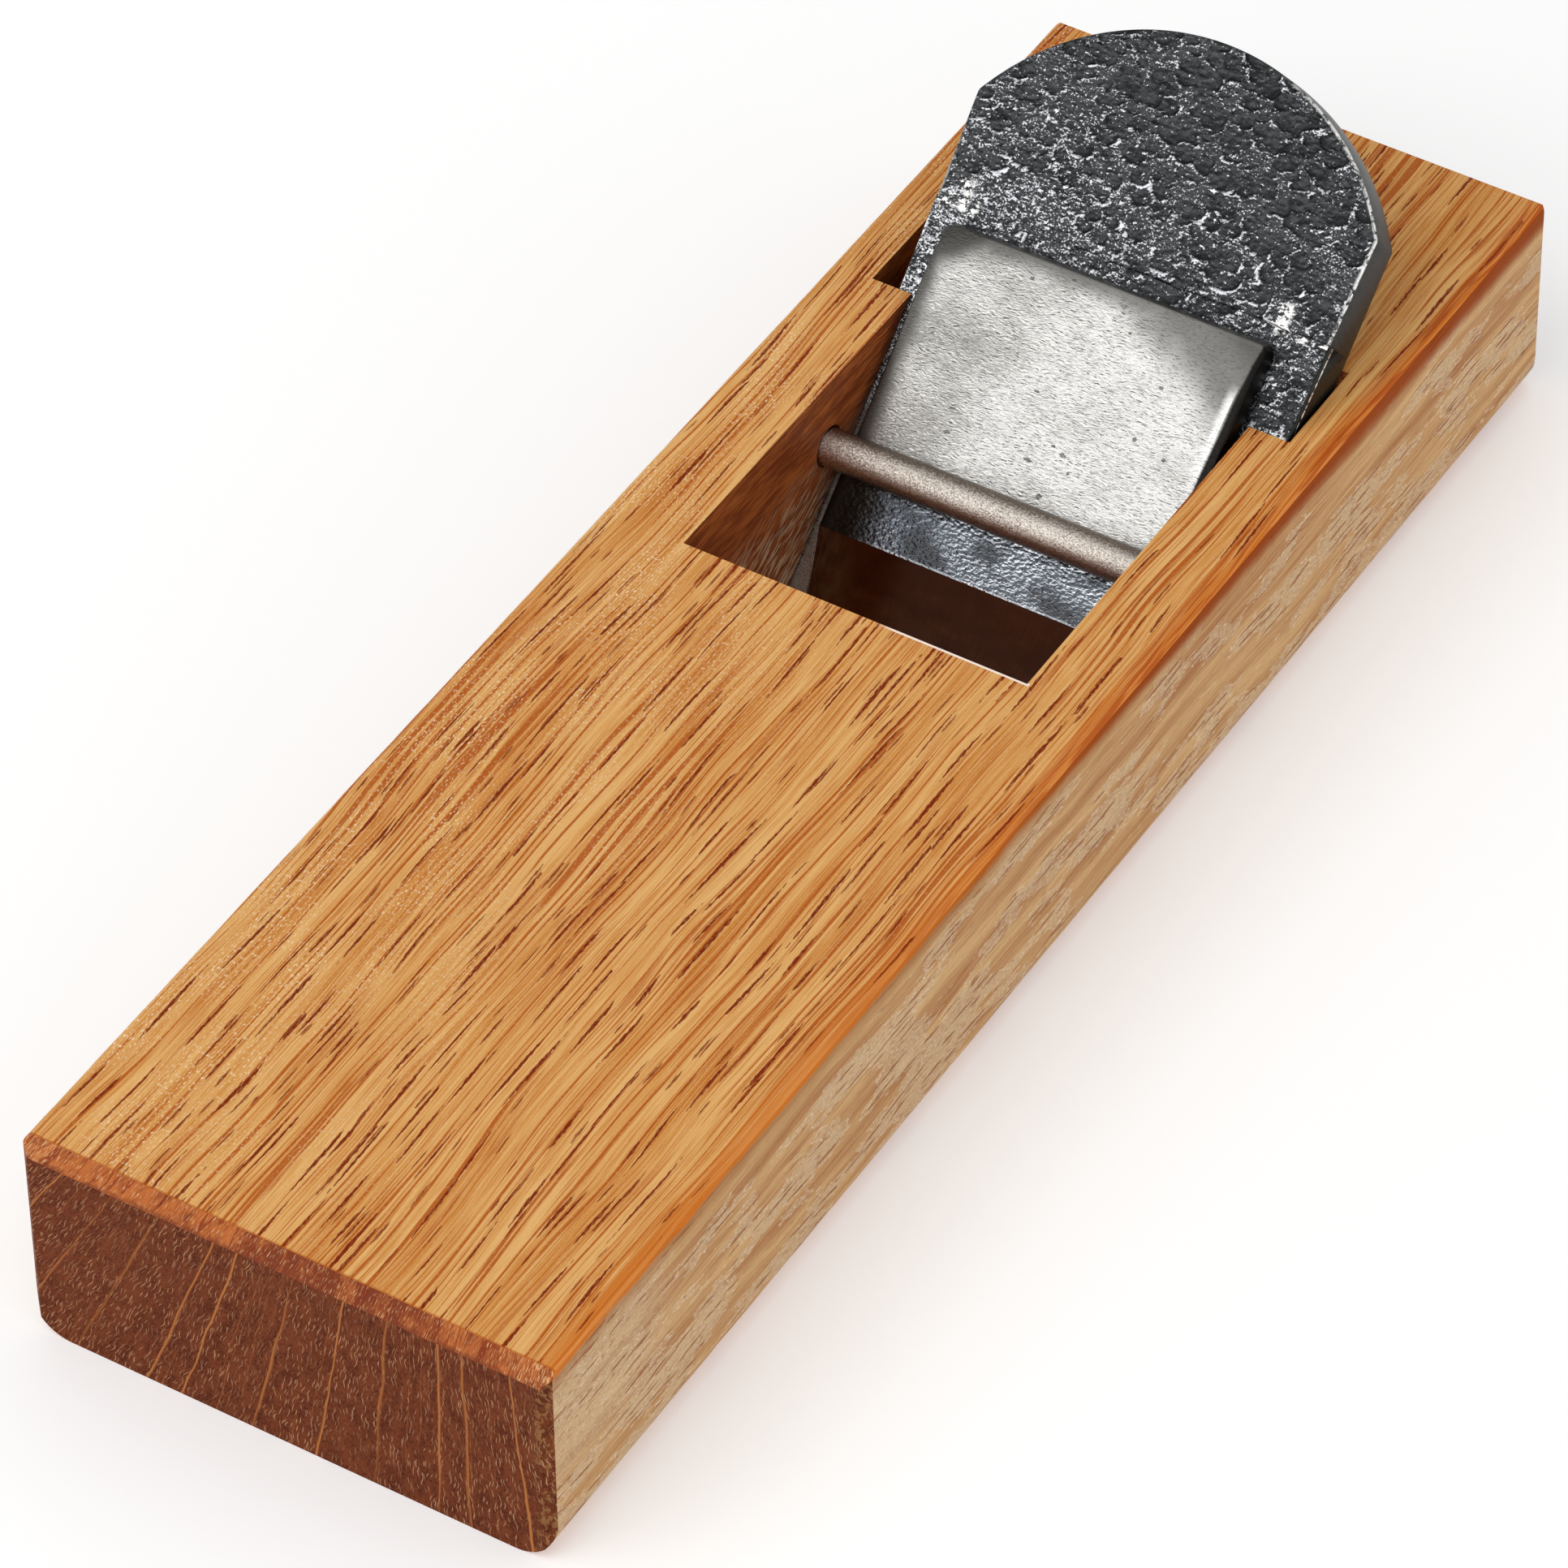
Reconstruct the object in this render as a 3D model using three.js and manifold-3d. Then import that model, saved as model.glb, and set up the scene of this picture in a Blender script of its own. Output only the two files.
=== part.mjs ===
// A small wooden hand plane that cuts on the pull stroke, in millimetres, +Z up.
// The block lies along Y: its tail end is at -Y, and the head end, over which the blade leans, at +Y.
// The origin is the middle of the sole, so the sole is z = 0.
import * as THREE from 'three';
import { mergeVertices } from 'three/addons/utils/BufferGeometryUtils.js';
import Module from 'manifold-3d';

const wasm = await Module();
wasm.setup();

// Block
const bodyLength = 229.7;
const bodyHeight = 30;
const soleEdgeRadius = 5.2; // the long edges of the sole are well rounded for the hand
const topEdgeRadius = 0.8;
const tailChamfer = 1.9; // top edge of the tail end
const headChamfer = 0.7; // top edge of the head end, where the hammer taps to loosen the blade
const cornerChamfer = 1.1; // upright corners

// Throat, the open well in front of the blade
const throatLength = 53.1; // front edge to the blade's face, along the top
const mouthLipHeight = 3; // the lowest, upright stretch of the throat's front wall
const mouthGap = 1.4; // front lip to the line of the blade's face, along the sole

// Blade seat: a wedge-shaped slot between the bed and the front faces of the two side grooves
const faceLineFromTail = 175; // tail end to the blade's face, along the top
const bedAngle = 39 * Math.PI / 180;
const wedgeAngle = 2 * Math.PI / 180; // the blade thickens by this angle towards its head
const slotPlay = 3; // how much wider the slot is than the blade's shoulders
const slotWall = 5.7; // wood left outside the slot on each side
const grooveDepth = 5.6; // of the side grooves, outward from the throat's walls
const bedLip = 1.6; // eased top edge of the bed

// Blade
const bladeLength = 86.9;
const bladeShoulderWidth = 55.6;
const bladeSideTaper = 1.7; // each side narrows by this from the shoulders to the edge
const bladeHeadRise = 15.76; // shoulders to the top of the round head
const bladeEdgeThickness = 6.4; // iron and steel together, measured at the edge as if there were no bevel
const bladeHeadThickness = 5.6;
const headReliefStart = 9.5; // above the block's top, up the slope: from here the back is dressed thinner
const cuttingBevel = 29 * Math.PI / 180;
const edgeSetback = 0.5; // height of the cutting edge above the sole, as it is stored
const edgePlay = 2.2; // the cutting edge is this much inside the mouth at each end
const edgeCornerHeight = 5.6; // the lower corners are ground off so that the edge fits the mouth
const bladeSideGap = 0.6; // right side of the blade to the slot's wall at the block's top
const steelThickness = 1.4;
const steelTop = 12; // the steel face ends this far up the slope from the block's top
const hollowDepth = 0.5; // hollow ground in the steel face
const hollowLength = 28;
const hollowWidth = 40;
const hollowAboveEdge = 4; // flat land left between the hollow and the cutting edge

// Chip breaker, a thin plate wedged between the blade's face and the cross pin
const breakerPlay = 1.6; // how much narrower the plate is than the throat
const breakerTop = 9.8; // up the slope from the block's top
const breakerEdgeSetback = 0.6; // from the blade's cutting edge, up the slope
const breakerThickness = 2.1;
const breakerEdgeLand = 0.35; // thickness left at its lower edge
const breakerBevelLength = 13.5;
const breakerHeadLift = 0.9; // the plate stands off the blade at its head, on two bent ears
const breakerEarReach = 7;
const breakerCornerRadius = 2.5;
const breakerHeadRound = 1.4;
const breakerEdgeCornerWidth = 2.5; // each lower corner tapers in by this over the bevel
const breakerSideShift = 0.3;

// Cross pin
const pinDiameter = 5;
const pinBelowTop = 21.65; // down the blade's face from the block's top to the pin
const pinEndChamfer = 0.4;
const pinRecess = 0.4; // the pin's left end lies this far inside the block's left side
const pinSeatDepth = 6.5; // depth of the blind seat in the right cheek, past the throat's wall

// Fits and cuts
const seatGap = 0.3; // between touching pieces
const overrun = 2; // how far a cutter runs past what it cuts
const mergeShare = 0.001; // of the seat gap: points this close are one
const arcSteps = 12; // on a small rounding
const headArcSteps = 40;
const roundSteps = 48;

// Places that follow from the sizes above
const tail = -bodyLength / 2;
const faceAngle = bedAngle + wedgeAngle;
const faceLine = tail + faceLineFromTail;
const slotWidth = bladeShoulderWidth + slotPlay;
const bodyWidth = slotWidth + 2 * slotWall;
const throatWidth = slotWidth - 2 * grooveDepth;
const soleSlope = -bodyHeight / Math.sin(faceAngle); // where the blade's face would meet the sole
const bladeEdge = (edgeSetback - bodyHeight) / Math.sin(faceAngle);
const bladeApex = bladeEdge + bladeLength;
const bladeShoulder = bladeApex - bladeHeadRise;
const bladeEdgeWidth = bladeShoulderWidth - 2 * bladeSideTaper; // before the corners are ground off
const edgeCornerWidth = bladeEdgeWidth / 2 - (throatWidth / 2 - edgePlay);
const bladeHalfAtTop = bladeHalfWidthAt(0);
const bladeSideShift = slotWidth / 2 - bladeHalfAtTop - bladeSideGap; // the blade sits to the right
const breakerWidth = throatWidth - breakerPlay;
const breakerEdge = bladeEdge + breakerEdgeSetback;
const breakerLength = breakerTop - breakerEdge;
const pinRadius = pinDiameter / 2;
const pinHoleRadius = pinRadius + seatGap;
const pinHoleEnd = throatWidth / 2 + pinSeatDepth;
const pinOffFace = breakerUndersideAt(-pinBelowTop) + breakerThickness + seatGap + pinRadius;
const pinPlace = fromFace(-pinBelowTop, pinOffFace);

// Blade thickness at a distance up the slope from the line where its face meets the block's top
function bladeThicknessAt(slope) {
  return bladeEdgeThickness + (slope - bladeEdge) * Math.tan(wedgeAngle);
}

// Half the blade's width at a distance up the slope, between its ground corners and its shoulders
function bladeHalfWidthAt(slope) {
  const share = (slope - bladeEdge - edgeCornerHeight) / (bladeShoulder - bladeEdge - edgeCornerHeight);
  return bladeShoulderWidth / 2 - bladeSideTaper * (1 - share);
}

// Point (y, z) of the block for a distance up the blade's face and a height off that face
function fromFace(slope, off) {
  return new THREE.Vector2(
    faceLine + slope * Math.cos(faceAngle) - off * Math.sin(faceAngle),
    bodyHeight + slope * Math.sin(faceAngle) + off * Math.cos(faceAngle),
  );
}

// The point at height z on the straight line through two points (y, z)
function atHeight(a, b, z) {
  const share = (z - a.y) / (b.y - a.y);
  return new THREE.Vector2(a.x + (b.x - a.x) * share, z);
}

// Solids for cutting and joining
function toSolid(geometry) {
  const bare = geometry.clone();
  bare.deleteAttribute('normal');
  bare.deleteAttribute('uv');
  const merged = mergeVertices(bare, mergeShare * seatGap);
  return new wasm.Manifold(new wasm.Mesh({
    numProp: 3,
    vertProperties: new Float32Array(merged.attributes.position.array),
    triVerts: new Uint32Array(merged.index.array),
  }));
}

function toGeometry(solid) {
  const mesh = solid.getMesh();
  const geometry = new THREE.BufferGeometry();
  geometry.setAttribute('position', new THREE.BufferAttribute(new Float32Array(mesh.vertProperties), 3));
  geometry.setIndex(new THREE.BufferAttribute(new Uint32Array(mesh.triVerts), 1));
  const flat = geometry.toNonIndexed();
  flat.computeVertexNormals();
  return flat;
}

function outline(points) {
  return new THREE.Shape(points.map(([u, v]) => new THREE.Vector2(u, v)));
}

// An outline in the (y, z) plane, or in (slope, off) on the blade, carried across the width
function across(shape, halfWidth, steps = arcSteps) {
  const geometry = new THREE.ExtrudeGeometry(shape, {
    depth: 2 * halfWidth,
    bevelEnabled: false,
    curveSegments: steps,
  });
  geometry.translate(0, 0, -halfWidth);
  const turn = new THREE.Matrix4().makeBasis(
    new THREE.Vector3(0, 1, 0),
    new THREE.Vector3(0, 0, 1),
    new THREE.Vector3(1, 0, 0),
  );
  geometry.applyMatrix4(turn);
  return toSolid(geometry);
}

// An outline in the (x, z) plane carried along the block
function along(shape, halfLength) {
  const geometry = new THREE.ExtrudeGeometry(shape, {
    depth: 2 * halfLength,
    bevelEnabled: false,
    curveSegments: arcSteps,
  });
  geometry.translate(0, 0, -halfLength);
  geometry.rotateX(Math.PI / 2);
  return toSolid(geometry);
}

// A flat outline carried from one height to another
function plate(shape, low, high, steps = arcSteps) {
  const geometry = new THREE.ExtrudeGeometry(shape, {
    depth: high - low,
    bevelEnabled: false,
    curveSegments: steps,
  });
  geometry.translate(0, 0, low);
  return geometry;
}

// An outline in the plane of the blade's face, (x, slope), carried through its thickness
function through(shape, low, high, steps = arcSteps) {
  return toSolid(plate(shape, low, high, steps));
}

function bodySection() {
  const halfWidth = bodyWidth / 2;
  const low = soleEdgeRadius;
  const high = topEdgeRadius;
  const section = new THREE.Shape();
  section.moveTo(low - halfWidth, 0);
  section.lineTo(halfWidth - low, 0);
  section.absarc(halfWidth - low, low, low, -Math.PI / 2, 0);
  section.lineTo(halfWidth, bodyHeight - high);
  section.absarc(halfWidth - high, bodyHeight - high, high, 0, Math.PI / 2);
  section.lineTo(high - halfWidth, bodyHeight);
  section.absarc(high - halfWidth, bodyHeight - high, high, Math.PI / 2, Math.PI);
  section.lineTo(-halfWidth, low);
  section.absarc(low - halfWidth, low, low, Math.PI, 1.5 * Math.PI);
  return section;
}

// Eases the top edge of one end; endSide is -1 at the tail and 1 at the head
function endChamferCut(endSide) {
  const end = bodyLength / 2;
  const chamfer = endSide < 0 ? tailChamfer : headChamfer;
  const points = [
    [endSide * (end - chamfer - overrun), bodyHeight + overrun],
    [endSide * (end + overrun), bodyHeight - chamfer - overrun],
    [endSide * (end + overrun), bodyHeight + overrun],
  ];
  return across(outline(points), bodyWidth);
}

// Eases one upright corner; side picks left or right, endSide the tail or the head
function cornerCut(side, endSide) {
  const x = bodyWidth / 2;
  const y = bodyLength / 2;
  const points = [
    [side * (x - cornerChamfer - overrun), endSide * (y + overrun)],
    [side * (x + overrun), endSide * (y - cornerChamfer - overrun)],
    [side * (x + overrun), endSide * (y + overrun)],
  ];
  return through(outline(points), -overrun, bodyHeight + overrun);
}

function throatCut() {
  const lipY = fromFace(soleSlope, 0).x - mouthGap;
  const top = new THREE.Vector2(faceLine - throatLength, bodyHeight);
  const lip = new THREE.Vector2(lipY, mouthLipHeight);
  const slotMiddleTop = fromFace(0, -bladeEdgeThickness / 2);
  const slotMiddleLow = fromFace(bladeEdge, -bladeEdgeThickness / 2);
  const points = [
    atHeight(top, lip, bodyHeight + overrun),
    lip,
    new THREE.Vector2(lipY, -overrun),
    atHeight(slotMiddleTop, slotMiddleLow, -overrun),
    atHeight(slotMiddleTop, slotMiddleLow, bodyHeight + overrun),
  ];
  return across(new THREE.Shape(points), throatWidth / 2);
}

// The slot's outline on the blade's face: at the sole it narrows to the mouth, as the blade's corners do
function slotOutline() {
  const half = slotWidth / 2;
  const mouthHalf = throatWidth / 2;
  const spread = (half - mouthHalf) * edgeCornerHeight / edgeCornerWidth;
  return outline([
    [-mouthHalf, soleSlope - bodyHeight],
    [mouthHalf, soleSlope - bodyHeight],
    [mouthHalf, soleSlope],
    [half, soleSlope + spread],
    [half, bodyHeight],
    [-half, bodyHeight],
    [-half, soleSlope + spread],
    [-mouthHalf, soleSlope],
  ]);
}

function slotCut() {
  const frontTop = fromFace(0, seatGap);
  const frontLow = fromFace(bladeEdge, seatGap);
  const bedTop = fromFace(0, -bladeThicknessAt(0) - seatGap);
  const bedLow = fromFace(bladeEdge, -bladeThicknessAt(bladeEdge) - seatGap);
  const bedEdge = atHeight(bedTop, bedLow, bodyHeight);
  const lipLow = atHeight(bedTop, bedLow, bodyHeight - bedLip);
  const lipTop = new THREE.Vector2(bedEdge.x + bedLip, bodyHeight);
  const points = [
    atHeight(frontTop, frontLow, bodyHeight + overrun),
    atHeight(frontTop, frontLow, -overrun),
    atHeight(bedTop, bedLow, -overrun),
    lipLow,
    atHeight(lipLow, lipTop, bodyHeight + overrun),
  ];
  const sides = plate(slotOutline(), -bodyHeight, bodyHeight);
  sides.rotateX(faceAngle);
  sides.translate(0, faceLine, bodyHeight);
  return across(new THREE.Shape(points), bodyWidth).intersect(toSolid(sides));
}

// The pin goes in from the left side and ends in a blind seat in the right cheek
function pinHoleCut() {
  const start = -bodyWidth / 2 - overrun;
  const length = pinHoleEnd - start;
  const geometry = new THREE.CylinderGeometry(pinHoleRadius, pinHoleRadius, length, roundSteps);
  geometry.rotateZ(Math.PI / 2);
  geometry.translate(start + length / 2, pinPlace.x, pinPlace.y);
  return toSolid(geometry);
}

function planeBody() {
  let body = along(bodySection(), bodyLength / 2);
  for (const endSide of [-1, 1]) {
    body = body.subtract(endChamferCut(endSide));
    for (const side of [-1, 1]) {
      body = body.subtract(cornerCut(side, endSide));
    }
  }
  return body.subtract(throatCut()).subtract(slotCut()).subtract(pinHoleCut());
}

// The blade's outline on its face: ground corners, sides that spread to the shoulders, a round head
function bladeOutline() {
  const lowHalf = bladeEdgeWidth / 2;
  const highHalf = bladeShoulderWidth / 2;
  const radius = (highHalf * highHalf + bladeHeadRise * bladeHeadRise) / (2 * bladeHeadRise);
  const arcCentre = bladeApex - radius;
  const shoulderAngle = Math.asin((bladeShoulder - arcCentre) / radius);
  const shape = new THREE.Shape();
  shape.moveTo(edgeCornerWidth - lowHalf, bladeEdge);
  shape.lineTo(lowHalf - edgeCornerWidth, bladeEdge);
  shape.lineTo(lowHalf, bladeEdge + edgeCornerHeight);
  shape.lineTo(highHalf, bladeShoulder);
  shape.absarc(0, arcCentre, radius, shoulderAngle, Math.PI - shoulderAngle);
  shape.lineTo(-lowHalf, bladeEdge + edgeCornerHeight);
  return shape;
}

function bladeBlank() {
  const deepest = bladeThicknessAt(bladeApex) + overrun;
  return through(bladeOutline(), -deepest, overrun, headArcSteps);
}

// Where the cutting bevel has cut through a layer of this depth
function bevelAt(depth) {
  return bladeEdge + depth / Math.tan(cuttingBevel);
}

function bladeIron() {
  const layer = steelThickness + seatGap;
  const heel = (bladeEdgeThickness / Math.tan(cuttingBevel))
    / (1 - Math.tan(wedgeAngle) / Math.tan(cuttingBevel));
  const profile = outline([
    [bevelAt(layer), -layer],
    [steelTop + seatGap, -layer],
    [steelTop + seatGap, 0],
    [bladeApex + overrun, 0],
    [bladeApex + overrun, -bladeHeadThickness],
    [headReliefStart, -bladeThicknessAt(headReliefStart)],
    [bladeEdge + heel, -bladeThicknessAt(bladeEdge + heel)],
  ]);
  return bladeBlank().intersect(across(profile, bladeShoulderWidth));
}

function bladeSteel() {
  const profile = outline([
    [bladeEdge, 0],
    [bevelAt(steelThickness), -steelThickness],
    [steelTop, -steelThickness],
    [steelTop, 0],
  ]);
  const hollow = new THREE.SphereGeometry(1, roundSteps, roundSteps / 2);
  hollow.scale(hollowWidth / 2, hollowLength / 2, hollowDepth);
  hollow.translate(0, bladeEdge + hollowAboveEdge + hollowLength / 2, 0);
  return bladeBlank().intersect(across(profile, bladeShoulderWidth)).subtract(toSolid(hollow));
}

function breakerOutline() {
  const half = breakerWidth / 2;
  const round = breakerCornerRadius;
  const bevelTop = breakerEdge + breakerBevelLength;
  const shape = new THREE.Shape();
  shape.moveTo(breakerEdgeCornerWidth - half, breakerEdge);
  shape.lineTo(half - breakerEdgeCornerWidth, breakerEdge);
  shape.lineTo(half, bevelTop);
  shape.lineTo(half, breakerTop - round);
  shape.absarc(half - round, breakerTop - round, round, 0, Math.PI / 2);
  shape.lineTo(round - half, breakerTop);
  shape.absarc(round - half, breakerTop - round, round, Math.PI / 2, Math.PI);
  shape.lineTo(-half, bevelTop);
  return shape;
}

// Height of the breaker's underside off the blade's face
function breakerUndersideAt(slope) {
  return seatGap + breakerHeadLift * (slope - breakerEdge) / breakerLength;
}

function breakerProfile() {
  const bevelTop = breakerEdge + breakerBevelLength;
  const headOff = breakerUndersideAt(breakerTop);
  const round = breakerHeadRound;
  const shape = new THREE.Shape();
  shape.moveTo(breakerEdge, breakerUndersideAt(breakerEdge));
  shape.lineTo(breakerTop, headOff);
  shape.lineTo(breakerTop, headOff + breakerThickness - round);
  shape.absarc(breakerTop - round, headOff + breakerThickness - round, round, 0, Math.PI / 2);
  shape.lineTo(bevelTop, breakerUndersideAt(bevelTop) + breakerThickness);
  shape.lineTo(breakerEdge, breakerUndersideAt(breakerEdge) + breakerEdgeLand);
  return shape;
}

// One bent ear: the upper corner reaches down to the blade's face; side picks left or right
function breakerEar(side) {
  const half = breakerWidth / 2;
  const corner = outline([
    [side * (half + overrun), breakerTop + overrun],
    [side * (half - breakerEarReach), breakerTop + overrun],
    [side * (half + overrun), breakerTop - breakerEarReach],
  ]);
  const high = breakerUndersideAt(breakerTop) + breakerThickness / 2;
  return through(corner, seatGap, high);
}

function chipBreaker() {
  const blank = through(breakerOutline(), -overrun, breakerThickness + breakerHeadLift + overrun);
  const plate = across(breakerProfile(), breakerWidth);
  const ears = breakerEar(-1).add(breakerEar(1));
  return blank.intersect(plate.add(ears));
}

function crossPin() {
  const left = pinRecess - bodyWidth / 2;
  const right = pinHoleEnd - seatGap;
  const ease = pinEndChamfer;
  const profile = [
    [0, left],
    [pinRadius - ease, left],
    [pinRadius, left + ease],
    [pinRadius, right - ease],
    [pinRadius - ease, right],
    [0, right],
  ].map(([radius, place]) => new THREE.Vector2(radius, place));
  const geometry = new THREE.LatheGeometry(profile, roundSteps);
  geometry.rotateZ(-Math.PI / 2);
  return geometry;
}

const oak = new THREE.MeshStandardMaterial({ color: 0xd0934f, roughness: 0.5, metalness: 0 });
const forgedIron = new THREE.MeshStandardMaterial({ color: 0x4a4c4e, roughness: 0.55, metalness: 0.8 });
const hardSteel = new THREE.MeshStandardMaterial({ color: 0xa9abad, roughness: 0.35, metalness: 1 });
const groundSteel = new THREE.MeshStandardMaterial({ color: 0xb4b2ad, roughness: 0.3, metalness: 1 });
const pinSteel = new THREE.MeshStandardMaterial({ color: 0x9b8f82, roughness: 0.35, metalness: 1 });

function namedMesh(name, geometry, material) {
  const mesh = new THREE.Mesh(geometry, material);
  mesh.name = name;
  return mesh;
}

// A group whose own frame is the blade's face: x across, y up the slope, z off the face
function faceGroup(sideShift) {
  const group = new THREE.Group();
  group.position.set(sideShift, faceLine, bodyHeight);
  group.rotation.x = faceAngle;
  return group;
}

const plane = new THREE.Group();
plane.add(namedMesh('plane_body', toGeometry(planeBody()), oak));

const blade = faceGroup(bladeSideShift);
blade.add(namedMesh('blade_iron', toGeometry(bladeIron()), forgedIron));
blade.add(namedMesh('blade_steel', toGeometry(bladeSteel()), hardSteel));
plane.add(blade);

const breaker = faceGroup(breakerSideShift);
breaker.add(namedMesh('chip_breaker', toGeometry(chipBreaker()), groundSteel));
plane.add(breaker);

const pin = namedMesh('cross_pin', crossPin(), pinSteel);
pin.position.set(0, pinPlace.x, pinPlace.y);
plane.add(pin);

export default plane;
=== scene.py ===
# A small wooden pull plane: oak block, hammered laminated blade, chip breaker and cross pin.
# Metres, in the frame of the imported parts: the sole is z = 0 and the head end is at +Y.
import bpy
import bmesh
import math
from mathutils import Matrix, Vector, noise


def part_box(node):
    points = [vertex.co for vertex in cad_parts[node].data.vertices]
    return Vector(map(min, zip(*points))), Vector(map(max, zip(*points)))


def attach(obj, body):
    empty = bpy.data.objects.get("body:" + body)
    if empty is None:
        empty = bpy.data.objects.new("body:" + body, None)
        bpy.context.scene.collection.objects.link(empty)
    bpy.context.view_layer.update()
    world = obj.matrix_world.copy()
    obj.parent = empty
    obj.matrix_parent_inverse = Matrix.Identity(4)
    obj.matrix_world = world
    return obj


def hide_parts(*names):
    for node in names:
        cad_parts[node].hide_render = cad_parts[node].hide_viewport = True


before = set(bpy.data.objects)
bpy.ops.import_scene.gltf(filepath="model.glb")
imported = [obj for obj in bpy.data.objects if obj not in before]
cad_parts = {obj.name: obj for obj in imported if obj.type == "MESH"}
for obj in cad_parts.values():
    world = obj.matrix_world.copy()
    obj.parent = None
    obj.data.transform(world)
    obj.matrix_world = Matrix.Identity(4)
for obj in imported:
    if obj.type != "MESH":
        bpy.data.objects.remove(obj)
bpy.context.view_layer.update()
mm = 0.001

blockLow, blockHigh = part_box("plane_body")
ironLow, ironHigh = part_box("blade_iron")
breakerLow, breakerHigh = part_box("chip_breaker")
pinLow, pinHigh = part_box("cross_pin")

# The blade's face: x across, slope up the face from the block's top, off = height off the face
face = {
    "fromTail": 175,  # mm, tail end to the face, along the block's top
    "angle": math.radians(41),
}
faceY = blockLow.y + face["fromTail"] * mm
faceZ = blockHigh.z
rise, run = math.sin(face["angle"]), math.cos(face["angle"])


def onFace(x, slope, off, sideShift):  # mm in, metres out
    return Vector((
        x * mm + sideShift,
        faceY + (slope * run - off * rise) * mm,
        faceZ + (slope * rise + off * run) * mm,
    ))


def addObject(name, data):
    obj = bpy.data.objects.new(name, data)
    bpy.context.scene.collection.objects.link(obj)
    return obj


def smoothMesh(name, work):
    data = bpy.data.meshes.new(name)
    work.to_mesh(data)
    work.free()
    data.shade_smooth()
    return data


# Camera

camera = {
    "place": (0.418134, -0.676866, 0.774668),
    "right": (0.85223146, 0.52308455, -0.00917063),
    "forward": (-0.38206180, 0.61030514, -0.69394267),
    "lens": 213.13,
    "sensor": 36,  # mm, the square frame that the lens goes with
    "nearest": 0.01,
}


def makeCamera(look):
    data = bpy.data.cameras.new("camera")
    data.lens, data.sensor_width, data.clip_start = look["lens"], look["sensor"], look["nearest"]
    obj = addObject("camera", data)
    right = Vector(look["right"]).normalized()
    back = -Vector(look["forward"]).normalized()
    up = back.cross(right)
    turn = Matrix((right, up, back)).transposed().to_4x4()
    obj.matrix_world = Matrix.Translation(look["place"]) @ turn
    bpy.context.scene.camera = obj


# Colours

def srgb(red, green, blue):  # 0 to 255 in, linear out
    def linear(part):
        share = part / 255
        return share / 12.92 if share <= 0.04045 else ((share + 0.055) / 1.055) ** 2.4
    return (linear(red), linear(green), linear(blue), 1)


# Node trees are written as formulas: a Field is one output socket that takes + - * /

def put(value, socket):
    if isinstance(value, Field):
        socket.id_data.links.new(value.socket, socket)
    elif hasattr(socket.default_value, "__len__") and not hasattr(value, "__len__"):
        socket.default_value = [value] * len(socket.default_value)
    else:
        socket.default_value = value


def fill(node, inputs):
    for name, value in inputs.items():
        put(value, node.inputs[name])


def calc(tree, operation, *values, clamp=False):
    node = tree.nodes.new("ShaderNodeMath")
    node.operation = operation
    node.use_clamp = clamp
    fill(node, dict(enumerate(values)))
    return Field(node.outputs[0])


def mathMethod(operation, swapped=False):
    def method(self, *others):
        values = (self, *others)
        return calc(self.tree, operation, *(reversed(values) if swapped else values))
    return method


class Field:
    def __init__(self, socket):
        self.socket = socket
        self.tree = socket.id_data

    __abs__ = mathMethod("ABSOLUTE")
    __add__, __radd__ = mathMethod("ADD"), mathMethod("ADD", swapped=True)
    __sub__, __rsub__ = mathMethod("SUBTRACT"), mathMethod("SUBTRACT", swapped=True)
    __mul__, __rmul__ = mathMethod("MULTIPLY"), mathMethod("MULTIPLY", swapped=True)
    __truediv__ = mathMethod("DIVIDE")
    power = mathMethod("POWER")
    atLeast = mathMethod("MAXIMUM")

    def clamped(self):
        return calc(self.tree, "ADD", self, 0, clamp=True)

    def between(self, low, high):  # 0 below low, 1 above high, smooth; low may be the larger one
        node = self.tree.nodes.new("ShaderNodeMapRange")
        node.interpolation_type = "SMOOTHSTEP"
        fill(node, {"Value": self, "From Min": low, "From Max": high})
        return Field(node.outputs["Result"])


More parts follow.
